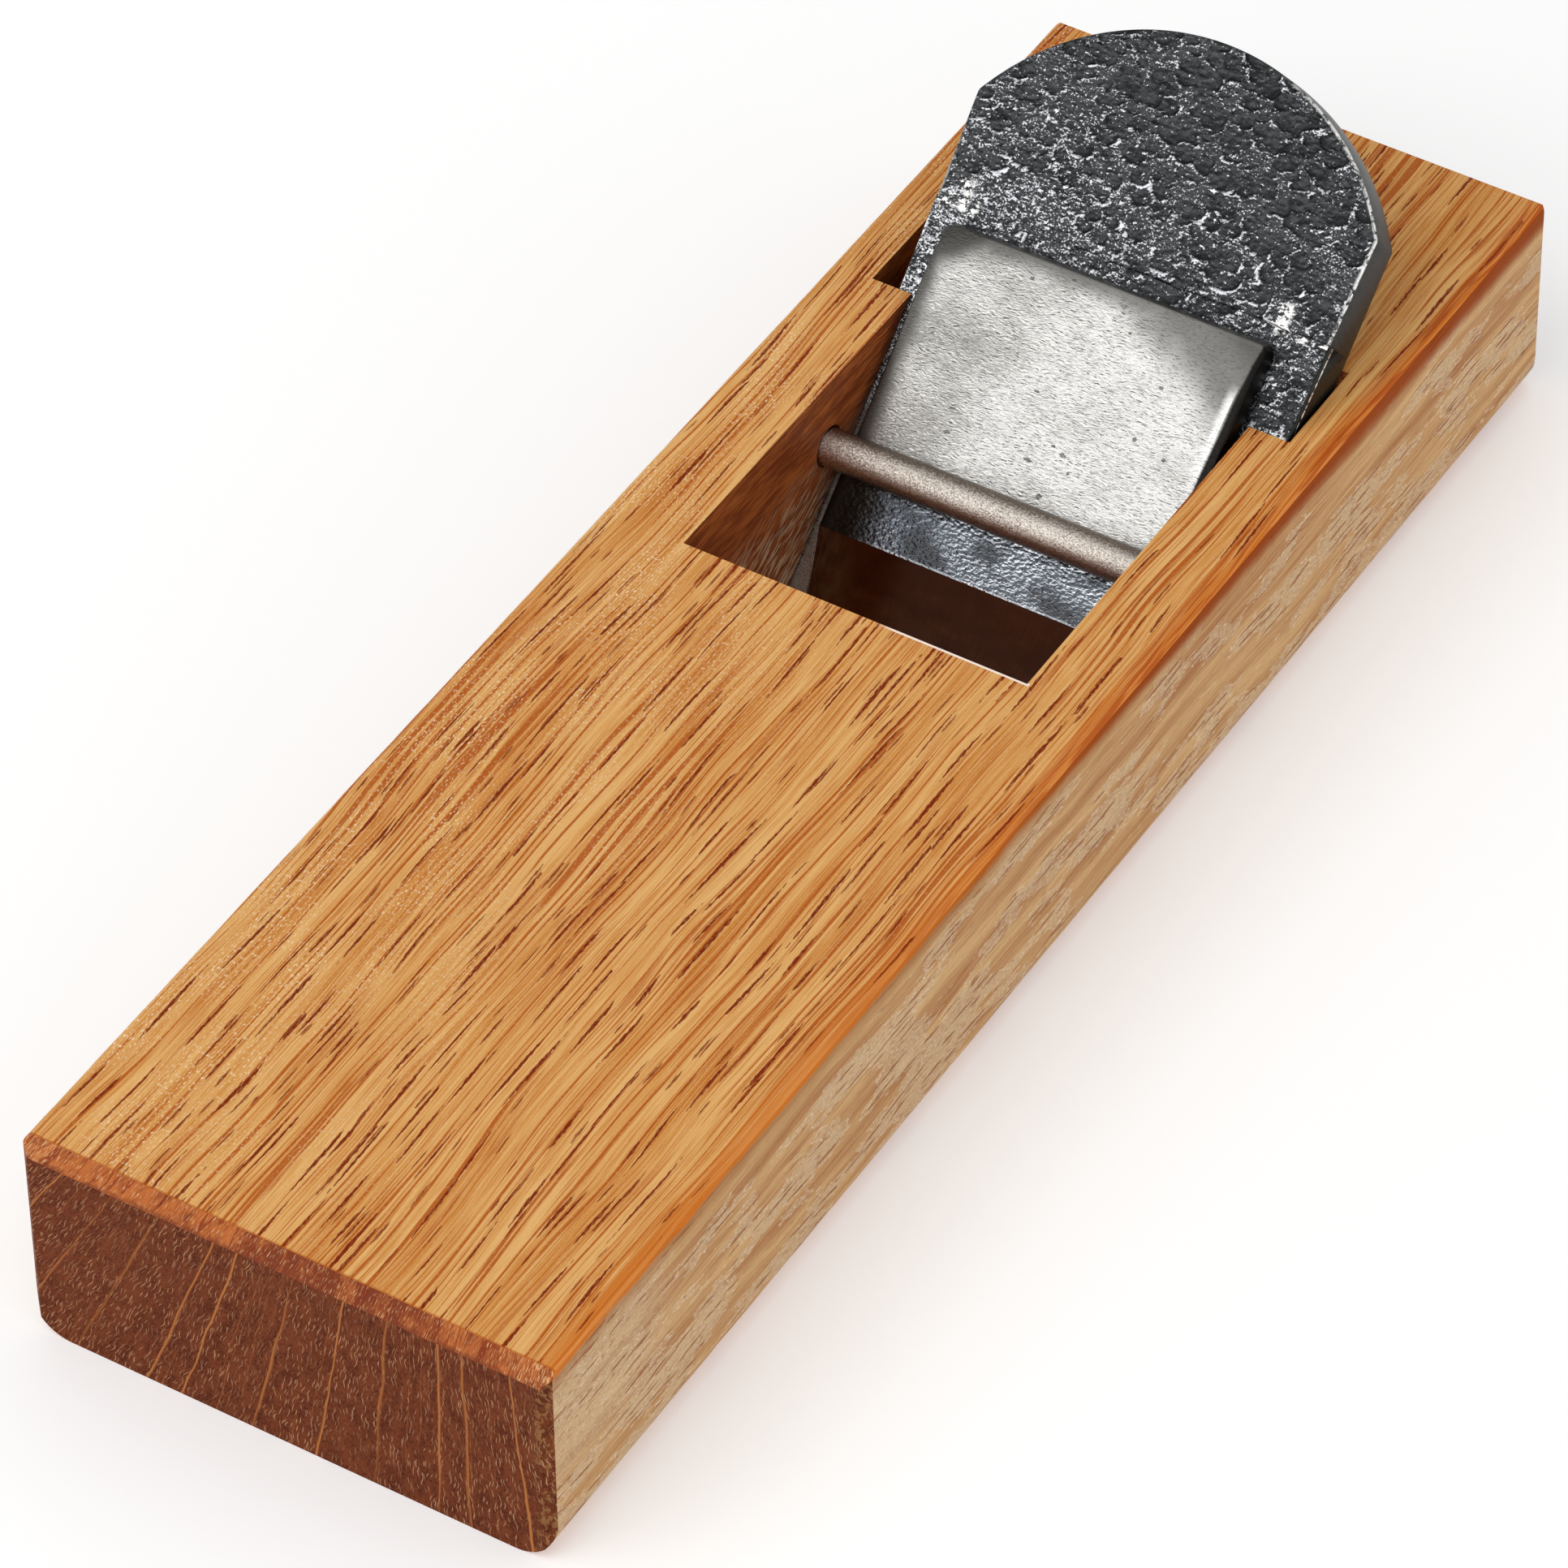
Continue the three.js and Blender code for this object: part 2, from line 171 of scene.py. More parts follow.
class Pattern:  # the nodes of one tree
    def __init__(self, tree):
        self.tree = tree

    def add(self, kind, inputs=None, **settings):
        node = self.tree.nodes.new(kind)
        for name, value in settings.items():
            setattr(node, name, value)
        fill(node, inputs or {})
        return node

    def field(self, kind, inputs=None, output=0, **settings):
        return Field(self.add(kind, inputs, **settings).outputs[output])

    def vector(self, x, y, z=0.0):
        return self.field("ShaderNodeCombineXYZ", {0: x, 1: y, 2: z})

    def split(self, vector):
        return [Field(output) for output in self.add("ShaderNodeSeparateXYZ", {0: vector}).outputs]

    def splitColour(self, colour):
        kind = "FunctionNode" if self.tree.type == "GEOMETRY" else "ShaderNode"
        outputs = self.add(kind + "SeparateColor", {0: colour}).outputs
        return [Field(outputs[place]) for place in range(3)]

    def cloud(self, x, y, z=0.0, detail=2.0, roughness=0.5):  # smooth noise, about 0.25 to 0.75
        inputs = {"Vector": self.vector(x, y, z), "Scale": 1.0, "Detail": detail, "Roughness": roughness}
        return self.field("ShaderNodeTexNoise", inputs)

    def relief(self, x, y, z, step, detail=2.0, roughness=0.5):  # lit and shaded sides of lumps, around 0
        first = self.cloud(x, y, z, detail, roughness)
        return self.cloud(x + step[0], y + step[1], z, detail, roughness) - first

    def cells(self, x, y, randomness=1.0):  # nearest seed point: its place and three random numbers
        inputs = {"Vector": self.vector(x, y), "Scale": 1.0, "Randomness": randomness}
        node = self.add("ShaderNodeTexVoronoi", inputs, voronoi_dimensions="2D")
        seedX, seedY, _ = self.split(Field(node.outputs["Position"]))
        return x - seedX, y - seedY, self.splitColour(Field(node.outputs["Color"]))

    def blend(self, share, first, second):
        return self.field("ShaderNodeMix", {0: share, 6: first, 7: second}, 2, data_type="RGBA")

    # Spindle-shaped marks that lie along v, one in each cell that has one, in mm
    def dashes(self, u, v, size, seed, wobble):
        shiftU, shiftV, (first, second, third) = self.cells(u / size["cell"][0] + seed, v / size["cell"][1])
        halfWidth = size["width"] / 2 * (0.7 + first * 0.6)
        halfLength = size["length"] / 2 * (0.5 + second)
        across = abs(shiftU * size["cell"][0]) / halfWidth
        along = shiftV * size["cell"][1] / halfLength
        inside = 1 - across - along * along + wobble
        return inside.between(0.05, 0.4) * third.between(1 - size["share"], 1.02 - size["share"])


def newMaterial(name):
    material = bpy.data.materials.new(name)
    material.use_nodes = True
    tree = material.node_tree
    shader = next(node for node in tree.nodes if node.type == "BSDF_PRINCIPLED")
    return material, Pattern(tree), shader


def addBump(p, shader, height, distance):  # height 0 to 1, distance in metres
    bump = p.field("ShaderNodeBump", {"Height": height, "Distance": distance, "Strength": 1.0})
    put(bump, shader.inputs["Normal"])


def objectPlace(p):  # mm in the frame
    return [part / mm for part in p.split(p.field("ShaderNodeTexCoord", output="Object"))]


def facePlace(p):  # x, slope and off in mm, as in onFace
    x, y, z = objectPlace(p)
    y, z = y - faceY / mm, z - faceZ / mm
    return x, y * run + z * rise, z * run - y * rise


# Oak block

oak = {
    "pith": (23.3, 114),  # mm, x and z: the rays on the ends fan out from here
    "rayFeet": [-46.3, -37.3, -29.1, -19.3, -14.8, -10.3, -5.1, -0.1, 3.6, 11.2, 20.0, 24.0, 32.3],
    "topLight": srgb(233, 181, 112),
    "topMid": srgb(210, 140, 66),
    "topDeep": srgb(180, 88, 20),
    "dash": srgb(126, 38, 2),
    # pale torn fibres on the walls, and the colour of the painted glints on the top
    "fleck": srgb(248, 222, 184),
    "arris": srgb(208, 114, 34),
    "arrisDeep": srgb(172, 70, 18),
    "throatEdgeHighlight": srgb(255, 238, 224),
    "sideLight": srgb(206, 166, 115),
    "sideDeep": srgb(166, 112, 66),
    "sidePatch": srgb(202, 174, 138),
    "sideFleck": srgb(230, 208, 180),
    "sideStreak": srgb(146, 76, 34),
    "sideEdge": srgb(146, 62, 14),
    "sideBrow": srgb(156, 104, 60),  # darker along the upper edge
    "endLight": srgb(118, 60, 34),
    "endDeep": srgb(80, 34, 18),
    "endRay": srgb(186, 116, 62),
    "endPore": srgb(196, 152, 114),
    "scuff": srgb(150, 108, 66),
    "edgeLight": srgb(188, 104, 48),
    "edgeDeep": srgb(122, 52, 24),
    "edgeFleck": srgb(240, 190, 134),
    "wallLight": srgb(176, 98, 46),
    "wallDeep": srgb(122, 58, 24),
    "slant": 0.12,  # how far the pores of the top lean from the grain
    "longDash": {"cell": (1.9, 12), "width": 0.46, "length": 13, "share": 0.56},
    "shortDash": {"cell": (1.4, 6), "width": 0.34, "length": 5, "share": 0.22},
    "sideDash": {"cell": (1.1, 6.0), "width": 0.42, "length": 6.0, "share": 0.6},
    "wallDash": {"cell": (1.6, 8.0), "width": 0.4, "length": 5.0, "share": 0.5},
    "pore": {"cell": (0.6, 1.35), "width": 0.15, "length": 1.5, "share": 0.7},
    "fineRay": {"cell": (2.6, 22), "width": 0.14, "length": 30, "share": 0.35},
    "rayMargin": 6,  # mm past the outermost ray feet
    "throatFromTail": 121.9,  # mm, tail end to the throat's front edge
    "paleStart": (3, 6),  # mm across: the painted highlight along the throat's front edge starts here
    "paleEnd": (24.2, 23.8),
    "tailChamfer": 1.9,
    "tornAlong": (28, 16),  # mm from the tail end: the side is torn out up to here
    "tornUp": (10, 15),
    "bandLength": 230,  # mm over which the side's dark band widens
    "topSheen": 0.07,
    "sideSheen": 0.065,
    "endSheen": 0.04,
    "edgeSheen": 0.15,
    "wallSheen": 0.12,
    "roughness": 0.5,
    "relief": 0.00006,  # metres
    "sideRelief": 0.00009,
}


def finishWood(p, shader, colour, height, sheen, relief=oak["relief"]):
    fill(shader, {"Base Color": colour, "Specular IOR Level": sheen, "Roughness": oak["roughness"]})
    addBump(p, shader, height, relief)


# Top and sole, cut across the growth rings: open grain in staggered dark dashes along the block
def oakTop(look):
    material, p, shader = newMaterial("oak top")
    x, y, z = objectPlace(p)
    halfWidth = blockHigh.x / mm
    drift = (p.cloud(x / 18, y / 60, z / 9) - 0.5) * 5 + (p.cloud(x / 4, y / 26, z / 3) - 0.5) * 0.5
    across = x + drift
    bands = p.cloud(across / 3, y / 70, z / 6, detail=1)
    streaks = p.cloud(across / 0.5, y / 28, z / 2, detail=2, roughness=0.6)
    fibre = p.cloud(across / 0.13, y / 5, z, detail=1)
    tone = (streaks - 0.5) * 2.4 + (bands - 0.5) * 1.6 + (fibre - 0.5) * 1.6 + 0.45
    colour = p.blend(tone.clamped(), look["topLight"], look["topMid"])
    rusty = p.cloud(across / 0.2 + 31, y / 24, z / 2, detail=1) + (bands - 0.5) * 0.24
    colour = p.blend(rusty.between(0.53, 0.65) * 0.6, colour, look["topDeep"])
    lines = p.cloud(across / 0.42 + 57, y / 70, z / 2, detail=0) + (p.cloud(across, y / 9, 3.0) - 0.5) * 0.2
    colour = p.blend(lines.between(0.58, 0.68) * 0.9, colour, look["topDeep"])
    # painted glints: short pale sparkles on the left of the top, where its slight sheen catches the light
    glintZone = p.cloud(x / 7, y / 20, z / 5).between(0.4, 0.62) * x.between(10, -26)
    glint = p.cloud(across / 0.17, y / 0.55, z, detail=1).between(0.57, 0.68)
    colour = p.blend(glint * (glintZone * 0.8 + 0.12), colour, look["fleck"])
    slanted = p.cloud((across + y * look["slant"]) / 0.2, y / 1.1, z, detail=1)
    ragged = (slanted - 0.5) * 1.8
    dash = p.dashes(across, y, look["longDash"], 0.0, ragged).atLeast(
        p.dashes(across, y, look["shortDash"], 3.7, ragged) * 0.85)
    dash = dash * abs(x).between(halfWidth - 0.6, halfWidth - 1.2)  # none along the arris
    glow = (x + (streaks - 0.5) * 5).between(halfWidth - 3.4, halfWidth - 0.8)
    colour = p.blend(glow * 0.7, colour, look["arris"])
    burnt = p.cloud(across / 0.5 + 13, y / 14, 5.0, detail=2).between(0.46, 0.56) * y.between(-90, 30)
    colour = p.blend(burnt * glow * 0.75, colour, look["arrisDeep"])
    colour = p.blend(dash * (slanted.between(0.62, 0.46) * 0.25 + 0.8), colour, look["dash"])
    throatFront = blockLow.y / mm + look["throatFromTail"]
    # painted highlight: a thin near-white line along the throat's front edge, where the crisp edge catches
    # the light
    pale = abs(y - throatFront + 0.1).between(0.3, 0.16)
    pale = pale * x.between(*look["paleStart"]) * x.between(*look["paleEnd"])
    pale = pale * z.between(blockHigh.z / mm - 1, blockHigh.z / mm - 0.5)
    colour = p.blend(pale, colour, look["throatEdgeHighlight"])
    tail = blockLow.y / mm + look["tailChamfer"]
    colour = p.blend(y.between(tail + 0.35, tail + 0.1) * 0.7, colour, look["topDeep"])
    finishWood(p, shader, colour, fibre * 0.3 - dash * 0.15, look["topSheen"])
    return material


# The long sides lie along the rays, which come out as pale torn patches
def oakSide(look):
    material, p, shader = newMaterial("oak side")
    x, y, z = objectPlace(p)
    height = blockHigh.z / mm
    level = z + (p.cloud(y / 40, z / 14, x) - 0.5) * 5
    bands = p.cloud(y / 60, level / 2.6, x)
    fibre = p.cloud(y / 12, level / 0.24, x, detail=2)
    tone = (bands - 0.5) * 2.6 + (fibre - 0.5) * 2.0 + 0.42
    colour = p.blend(tone.clamped(), look["sideLight"], look["sideDeep"])
    rough = (p.cloud(y / 9, x, 2.0, detail=4, roughness=0.6) - 0.5) * 2.4
    brow = (z - height + rough).between(-4.5, -0.5)
    where = p.cloud(y / 20 + 5.2, z / 6, x / 9, detail=5, roughness=0.65) - z / height * 0.07
    grain = p.cloud(y / 1.1, level / 0.5, x, detail=3, roughness=0.7)
    fromTail = y - blockLow.y / mm
    corner = fromTail.between(*look["tornAlong"]) * z.between(*look["tornUp"])
    patch = (where.between(0.46, 0.52) * (1 - brow)).atLeast(corner * 0.8)
    colour = p.blend(patch * 0.64, colour, look["sidePatch"])
    bright = p.cloud(y / 0.5, z / 0.3, x, detail=3, roughness=0.85)
    outline = abs(where - 0.475).between(0.014, 0.002) * (1 - brow)  # a ray's curly edge
    shown = bright.between(0.53, 0.66) * (patch * 0.8 + 0.12)
    colour = p.blend(shown.atLeast(outline * bright.between(0.4, 0.6) * 0.9), colour, look["sideFleck"])
    torn = p.cloud(y / 1.8, level / 0.25, x + 9, detail=2, roughness=0.6)
    colour = p.blend(torn.between(0.55, 0.68) * (patch * 0.5 + 0.25), colour, look["sideStreak"])
    ragged = (grain - 0.5) * 1.8
    dash = p.dashes(level, y, look["sideDash"], 1.9, ragged) * (where.between(0.43, 0.49) * 0.8 + 0.15)
    colour = p.blend(dash * 0.8, colour, look["sideStreak"])
    along = fromTail / look["bandLength"]
    colour = p.blend(brow * 0.6, colour, look["sideBrow"])
    reach = along.between(0.3, 0.9) * 2.0 + 0.7  # the dark band along the top widens to the head end
    edge = ((z - height + rough * 0.6) / reach).between(-1.65, -0.5)
    colour = p.blend(edge * 0.9, colour, p.blend(along.between(0.2, 0.6), look["arris"], look["sideEdge"]))
    low = (z + rough * 0.6).between(1.8, 0.4)
    colour = p.blend(low * 0.4, colour, look["arris"])
    sheen = look["sideSheen"] - edge.atLeast(brow * 0.7) * 0.055  # duller along the upper edge
    height = fibre * 0.3 + grain * (patch * 0.8 + 0.3) - dash
    finishWood(p, shader, colour, height, sheen, look["sideRelief"])
    return material


# End grain: rays and pores that point to the middle of the tree
def oakEnd(look):
    material, p, shader = newMaterial("oak end")
    x, y, z = objectPlace(p)
    pithX, pithZ = look["pith"]
    foot = pithX + (x - pithX) * pithZ / (pithZ - z)
    foot = foot + (p.cloud(foot / 6, z / 7, y / 9, detail=1) - 0.5) * 1.1
    low, high = look["rayFeet"][0] - look["rayMargin"], look["rayFeet"][-1] + look["rayMargin"]
    ramp = p.add("ShaderNodeValToRGB", {0: (foot - low) / (high - low)})
    widest = fillRayRamp(ramp.color_ramp, look["rayFeet"], low, high)
    gap = Field(ramp.outputs[0]) * widest
    thick = p.cloud(foot / 6, z / 40, 5.0).between(0.3, 0.7) * 0.14 + 0.16
    ray = gap.between(thick, thick * 0.3)
    fine = p.dashes(foot, z, look["fineRay"], 5.1, 0.0)
    speckle = p.cloud(foot / 0.3, z / 0.5, y, detail=3, roughness=0.6)
    tone = (p.cloud(foot / 1.4, z / 3.2, y / 3, detail=3) - 0.5) * 2.0 + (speckle - 0.5) * 3.2 + 0.36
    colour = p.blend(tone.clamped(), look["endLight"], look["endDeep"])
    zone = p.cloud(x / 6, z / 6, y / 9).between(0.35, 0.6)
    wavy = foot + (p.cloud(x / 2.4, z / 1.4, y, detail=0) - 0.5) * 0.9
    pore = p.dashes(wavy, z, look["pore"], 2.2, (speckle - 0.5) * 0.9)
    colour = p.blend(pore * (zone * 0.45 + 0.25), colour, look["endPore"])
    colour = p.blend((ray + fine * 0.3).clamped() * 0.9, colour, look["endRay"])
    torn = p.cloud(x / 0.7, z / 0.9, y / 0.6, detail=3, roughness=0.6).between(0.5, 0.6)
    torn = torn * x.between(blockHigh.x / mm - 2.6, blockHigh.x / mm - 1.2)  # the corner is scuffed
    colour = p.blend(torn * 0.7, colour, look["scuff"])
    finishWood(p, shader, colour, speckle * 0.4 + ray * 0.4, look["endSheen"])
    return material


# Makes the ramp give the distance to the nearest ray, as a share of the widest half gap
def fillRayRamp(ramp, feet, low, high):
    span = high - low
    stops = [(low, feet[0] - low)]
    for foot, nextFoot in zip(feet, feet[1:] + [None]):
        stops.append((foot, 0))
        if nextFoot is not None:
            stops.append(((foot + nextFoot) / 2, (nextFoot - foot) / 2))
    stops.append((high, high - feet[-1]))
    widest = max(distance for _, distance in stops)
    while len(ramp.elements) < len(stops):
        ramp.elements.new(0.5)
    for element, (place, distance) in zip(ramp.elements, stops):
        element.position = (place - low) / span
        share = distance / widest
        element.color = (share, share, share, 1)
    return widest


# Eased edges of the ends, where the fibres are cut slantwise and glow
def oakEdge(look):
    material, p, shader = newMaterial("oak edge")
    x, y, z = objectPlace(p)
    halfLength = blockHigh.y / mm
    pithX, pithZ = look["pith"]
    foot = pithX + (x - pithX) * pithZ / (pithZ - z)
    fibre = p.cloud(foot / 0.2, z / 0.9, y / 3, detail=3, roughness=0.6)
    shade = x.between(-10, 0) * x.between(22, 12) * 0.8  # darkest about the middle
    tone = (p.cloud(foot / 2.4, z / 3, y / 9) - 0.5) * 2.4 + (fibre - 0.5) * 3.0 + 0.25 + shade
    colour = p.blend(tone.clamped(), look["edgeLight"], look["edgeDeep"])
    lines = abs(p.cloud(foot / 3 + 11, y / 9, 4.0, detail=1) - 0.5).between(0.03, 0.01)
    colour = p.blend(lines * 0.7, colour, look["dash"])
    fleck = p.cloud(foot / 0.16, z / 0.7, 3.0, detail=1) + abs(x).between(26, 34) * 0.08
    colour = p.blend(fleck.between(0.6, 0.7) * 0.65, colour, look["edgeFleck"])
    crease = p.cloud(x / 3, y, 6.0, detail=2).between(0.4, 0.55)
    crease = crease * abs(y).between(halfLength - 0.5, halfLength - 0.1)
    colour = p.blend(crease * 0.7, colour, look["edgeDeep"])
    finishWood(p, shader, colour, fibre, look["edgeSheen"])
    return material


# Throat, slot and grooves, chopped and pared by hand
def oakWall(look):
    material, p, shader = newMaterial("oak wall")
    x, y, z = objectPlace(p)
    bands = p.cloud(y / 9, z / 1.6, x / 3)
    fibre = p.cloud(y / 3, z / 0.25, x / 0.6, detail=3)
    # painted light: the walls get lighter from z 28 mm down to 14 mm, to lift the shade deep in the throat
    tone = (bands - 0.5) * 2.4 + (fibre - 0.5) * 3.6 + 0.3 + z.between(14, 28) * 0.35
    colour = p.blend(tone.clamped(), look["wallLight"], look["wallDeep"])
    dash = p.dashes(z, y, look["wallDash"], 9.2, (fibre - 0.5) * 3)
    colour = p.blend(dash * 0.55, colour, look["dash"])
    lean = y * 0.5 + z  # the chisel came in at a slant
    # pale torn fibres, more of them low down: real tearing, and partly painted light on the shaded lower
    # walls
    torn = p.cloud(lean / 2.4, (z - y * 0.5) / 0.35, x, detail=3).between(0.48, 0.6) * z.between(22, 12)
    colour = p.blend(torn * 0.7 * abs(x).between(21, 23), colour, look["fleck"])
    finishWood(p, shader, colour, fibre - dash, look["wallSheen"])
    return material


block = {
    "arrisWidth": 0.22,  # mm, the last touch of the plane on every sharp edge
    "arrisSteps": 3,
    "sharp": math.radians(35),
    "flat": math.radians(0.5),  # faces that turn less than this are one
    "mergeDistance": 0.001,
    "slice": 2.5,  # mm between the points that let the edges waver
    "waver": 0.07,
    "wave": 3,
    "rim": 2.6,  # mm: what lies nearer to the block's outline than this is outside
    "soleRounding": 6,  # mm above the sole where its rounded edges end
    "flatFaceWeight": 100,
}


# Which cut of the wood a face shows: top, side, end, edge or wall, as 0 to 4
def blockFace(normal, centre):
    rim = block["rim"] * mm
    atSide = abs(centre.x) > blockHigh.x - rim
    atEnd = abs(centre.y) > blockHigh.y - rim
    if atEnd and (abs(normal.y) > 0.9 or abs(normal.y) > 0.5 and abs(normal.x) > 0.4):
        return 2
    if atEnd and abs(normal.y) > 0.3 and abs(normal.x) < 0.4:
        return 3
    if atSide and abs(normal.x) > 0.75:
        return 1
    atSole = normal.z < -0.6 and centre.z < block["soleRounding"] * mm
    if abs(normal.z) > 0.97 or atSide or atEnd or atSole:
        return 0
    if centre.z > blockHigh.z - block["arrisWidth"] * mm and normal.z > 0.3:
        return 0
    return 4


def makeBlock(size, materials):
    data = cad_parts["plane_body"].data.copy()  # the CAD solid, its flat faces made whole again
    data.name = "planeBlock"
    data.materials.clear()
    work = bmesh.new()
    work.from_mesh(data)
    bmesh.ops.remove_doubles(work, verts=work.verts, dist=size["mergeDistance"] * mm)
    bmesh.ops.dissolve_limit(work, angle_limit=size["flat"], verts=work.verts, edges=work.edges)
    sharp = [edge for edge in work.edges if edge.calc_face_angle(0) > size["sharp"]]
    bmesh.ops.bevel(work, geom=sharp, offset=size["arrisWidth"] * mm, segments=size["arrisSteps"],
                    profile=0.5, affect="EDGES", clamp_overlap=True)
    cuts = int((blockHigh.y - blockLow.y) / (size["slice"] * mm))
    for step in range(1, cuts):
        place = blockLow.y + (blockHigh.y - blockLow.y) * step / cuts
        everything = work.verts[:] + work.edges[:] + work.faces[:]
        bmesh.ops.bisect_plane(work, geom=everything, plane_co=(0, place, 0), plane_no=(0, 1, 0))
    centre = (blockLow + blockHigh) / 2
    for vert in work.verts:
        inward = Vector((centre.x - vert.co.x, 0, centre.z - vert.co.z)).normalized()
        bump = abs(noise.noise(vert.co / (size["wave"] * mm))) * size["waver"] * mm
        vert.co += inward * bump
    work.normal_update()
    for made in work.faces:
        made.material_index = blockFace(made.normal, made.calc_center_median())
    work.to_mesh(data)
    work.free()
    for material in materials:
        data.materials.append(material)
    data.shade_smooth()
    obj = addObject("planeBlock", data)
    weighted = obj.modifiers.new("flat faces", "WEIGHTED_NORMAL")
    weighted.keep_sharp = False
    weighted.weight = size["flatFaceWeight"]
    return obj


# Thin plates on the blade's face: a front and a back grid, rounded over at the rim

def alongLine(points, share):  # the point at a share of a polyline's length
    lengths = [(b - a).length for a, b in zip(points, points[1:])]
    left = share * sum(lengths)
    for start, end, length in zip(points, points[1:], lengths):
        if left <= length:
            return start.lerp(end, left / length if length else 0)
        left -= length
    return points[-1].copy()


def spaced(low, high, count):
    return [low + (high - low) * step / count for step in range(count + 1)]


def straightRows(halfAt, slopes, columns):  # rows across, each as wide as halfAt says
    rows = []
    for slope in slopes:
        half = halfAt(slope)
        rows.append([Vector((half * (2 * column / columns - 1), slope)) for column in range(columns + 1)])
    return rows


# Rows that bend from a straight one to the round or square head; sides and top are the right half's
def headRows(firstRow, sidePoints, topPoints, columns, rows):
    mirror = Vector((-1, 1))
    lowLeft, lowRight = firstRow[0], firstRow[-1]
    highRight = topPoints[0]
    highLeft = highRight * mirror
    arc = topPoints + [point * mirror for point in reversed(topPoints)]
    grid = []
    for row in range(1, rows + 1):
        v = row / rows
        right = alongLine(sidePoints, v)
        left = right * mirror
        line = []
        for column in range(columns + 1):
            u = column / columns
            high = alongLine(arc, 1 - u)
            edges = firstRow[column] * (1 - v) + high * v + left * (1 - u) + right * u
            low = lowLeft * (1 - u) + lowRight * u
            top = highLeft * (1 - u) + highRight * u
            line.append(edges - (low * (1 - v) + top * v))
        grid.append(line)
    return grid


def rimOf(grid):  # the (row, column) places of the outer loop, counterclockwise
    rows, columns = len(grid) - 1, len(grid[0]) - 1
    loop = [(0, column) for column in range(columns)]
    loop += [(row, columns) for row in range(rows)]
    loop += [(rows, column) for column in range(columns, 0, -1)]
    loop += [(row, 0) for row in range(rows, 0, -1)]
    return loop


def widened(loop, distance):  # the loop moved outwards
    tiny = 1e-5
    count = len(loop)
    result = []
    for place, point in enumerate(loop):
        before = next(loop[place - n] for n in range(1, count) if (loop[place - n] - point).length > tiny)
        after = next(loop[(place + n) % count] for n in range(1, count)
                     if (loop[(place + n) % count] - point).length > tiny)
        first, second = (point - before).normalized(), (after - point).normalized()
        out = Vector((first.y + second.y, -first.x - second.x)).normalized()
        spread = max(0.5, out.dot(Vector((first.y, -first.x))))
        result.append(point + out * distance / spread)
    return result


# front and back are grids of (x, slope) in mm; frontOff and backOff give their heights off the face
def makePlate(name, front, back, frontOff, backOff, rims, sideShift, steps=4, mergeDistance=1e-8):
    work = bmesh.new()
    frontFlag = work.verts.layers.float.new("frontFace")
    arrisFlag = work.verts.layers.float.new("arris")

    def addVert(point, off, isFront, isArris=0):
        vert = work.verts.new(onFace(point.x, point.y, off, sideShift))
        vert[frontFlag] = isFront
        vert[arrisFlag] = isArris
        return vert

    fronts = [[addVert(point, frontOff(point, row), 1) for point in line] for row, line in enumerate(front)]
    backs = [[addVert(point, backOff(point, row), 0) for point in line] for row, line in enumerate(back)]
    for row in range(len(front) - 1):
        for column in range(len(front[0]) - 1):
            corners = [(row, column), (row, column + 1), (row + 1, column + 1), (row + 1, column)]
            work.faces.new([fronts[r][c] for r, c in corners])
            work.faces.new([backs[r][c] for r, c in reversed(corners)])

    rim = rimOf(front)
    rings = [[fronts[r][c] for r, c in rim]]
    frontRim = [front[r][c] for r, c in rim]
    backRim = [back[r][c] for r, c in rim]
    frontRound, backRound = rims
    for step in range(1, steps + 1):
        turn = math.pi / 2 * step / steps
        loop = widened(frontRim, frontRound * math.sin(turn))
        rings.append([addVert(point, frontOff(frontRim[k], rim[k][0]) - frontRound * (1 - math.cos(turn)),
                              math.cos(turn), math.sin(2 * turn)) for k, point in enumerate(loop)])
    for step in range(steps, 0, -1):
        turn = math.pi / 2 * step / steps
        loop = widened(backRim, backRound * math.sin(turn))
        rings.append([addVert(point, backOff(backRim[k], rim[k][0]) + backRound * (1 - math.cos(turn)), 0)
                      for k, point in enumerate(loop)])
    rings.append([backs[r][c] for r, c in rim])
    for upper, lower in zip(rings, rings[1:]):
        for k in range(len(rim)):
            n = (k + 1) % len(rim)
            work.faces.new([upper[k], lower[k], lower[n], upper[n]])
    bmesh.ops.remove_doubles(work, verts=work.verts, dist=mergeDistance)
    return addObject(name, smoothMesh(name, work))


# Blade

blade = {
    "length": 86.9,
    "edge": -44.97,  # slope of the cutting edge
    "headRise": 15.76,
    "sideTaper": 1.7,
    "edgeCorner": (4.6, 5.6),  # ground off each lower corner, across and up
    "edgeThickness": 6.4,
    "headThickness": 5.6,
    "wedge": math.radians(2),
    "reliefStart": 9.5,
    "bevel": math.radians(29),
    "steelThickness": 1.45,
    "weldGap": 0.03,
    "seam": 12.15,  # slope where the steel face ends
    "seamWaver": 0.35,
    "hollow": (20, 14, 0.5),  # half width, half length and depth of the ground hollow
    "hollowAboveEdge": 4,
    "seamReach": 2.5,  # the rows this near to the seam follow it
    "rims": (0.45, 0.6),
    "steelRims": (0.03, 0.03),
    "columns": 210,
    "headRows": 112,
    "hiddenRows": 12,
    "steelRows": 120,
    "headSplit": math.radians(60),  # where the grid's upper corners lie on the head's arc
    "arcSteps": 24,
}
bladeShift = (ironLow.x + ironHigh.x) / 2
bladeHalf = (ironHigh.x - ironLow.x) / 2 / mm


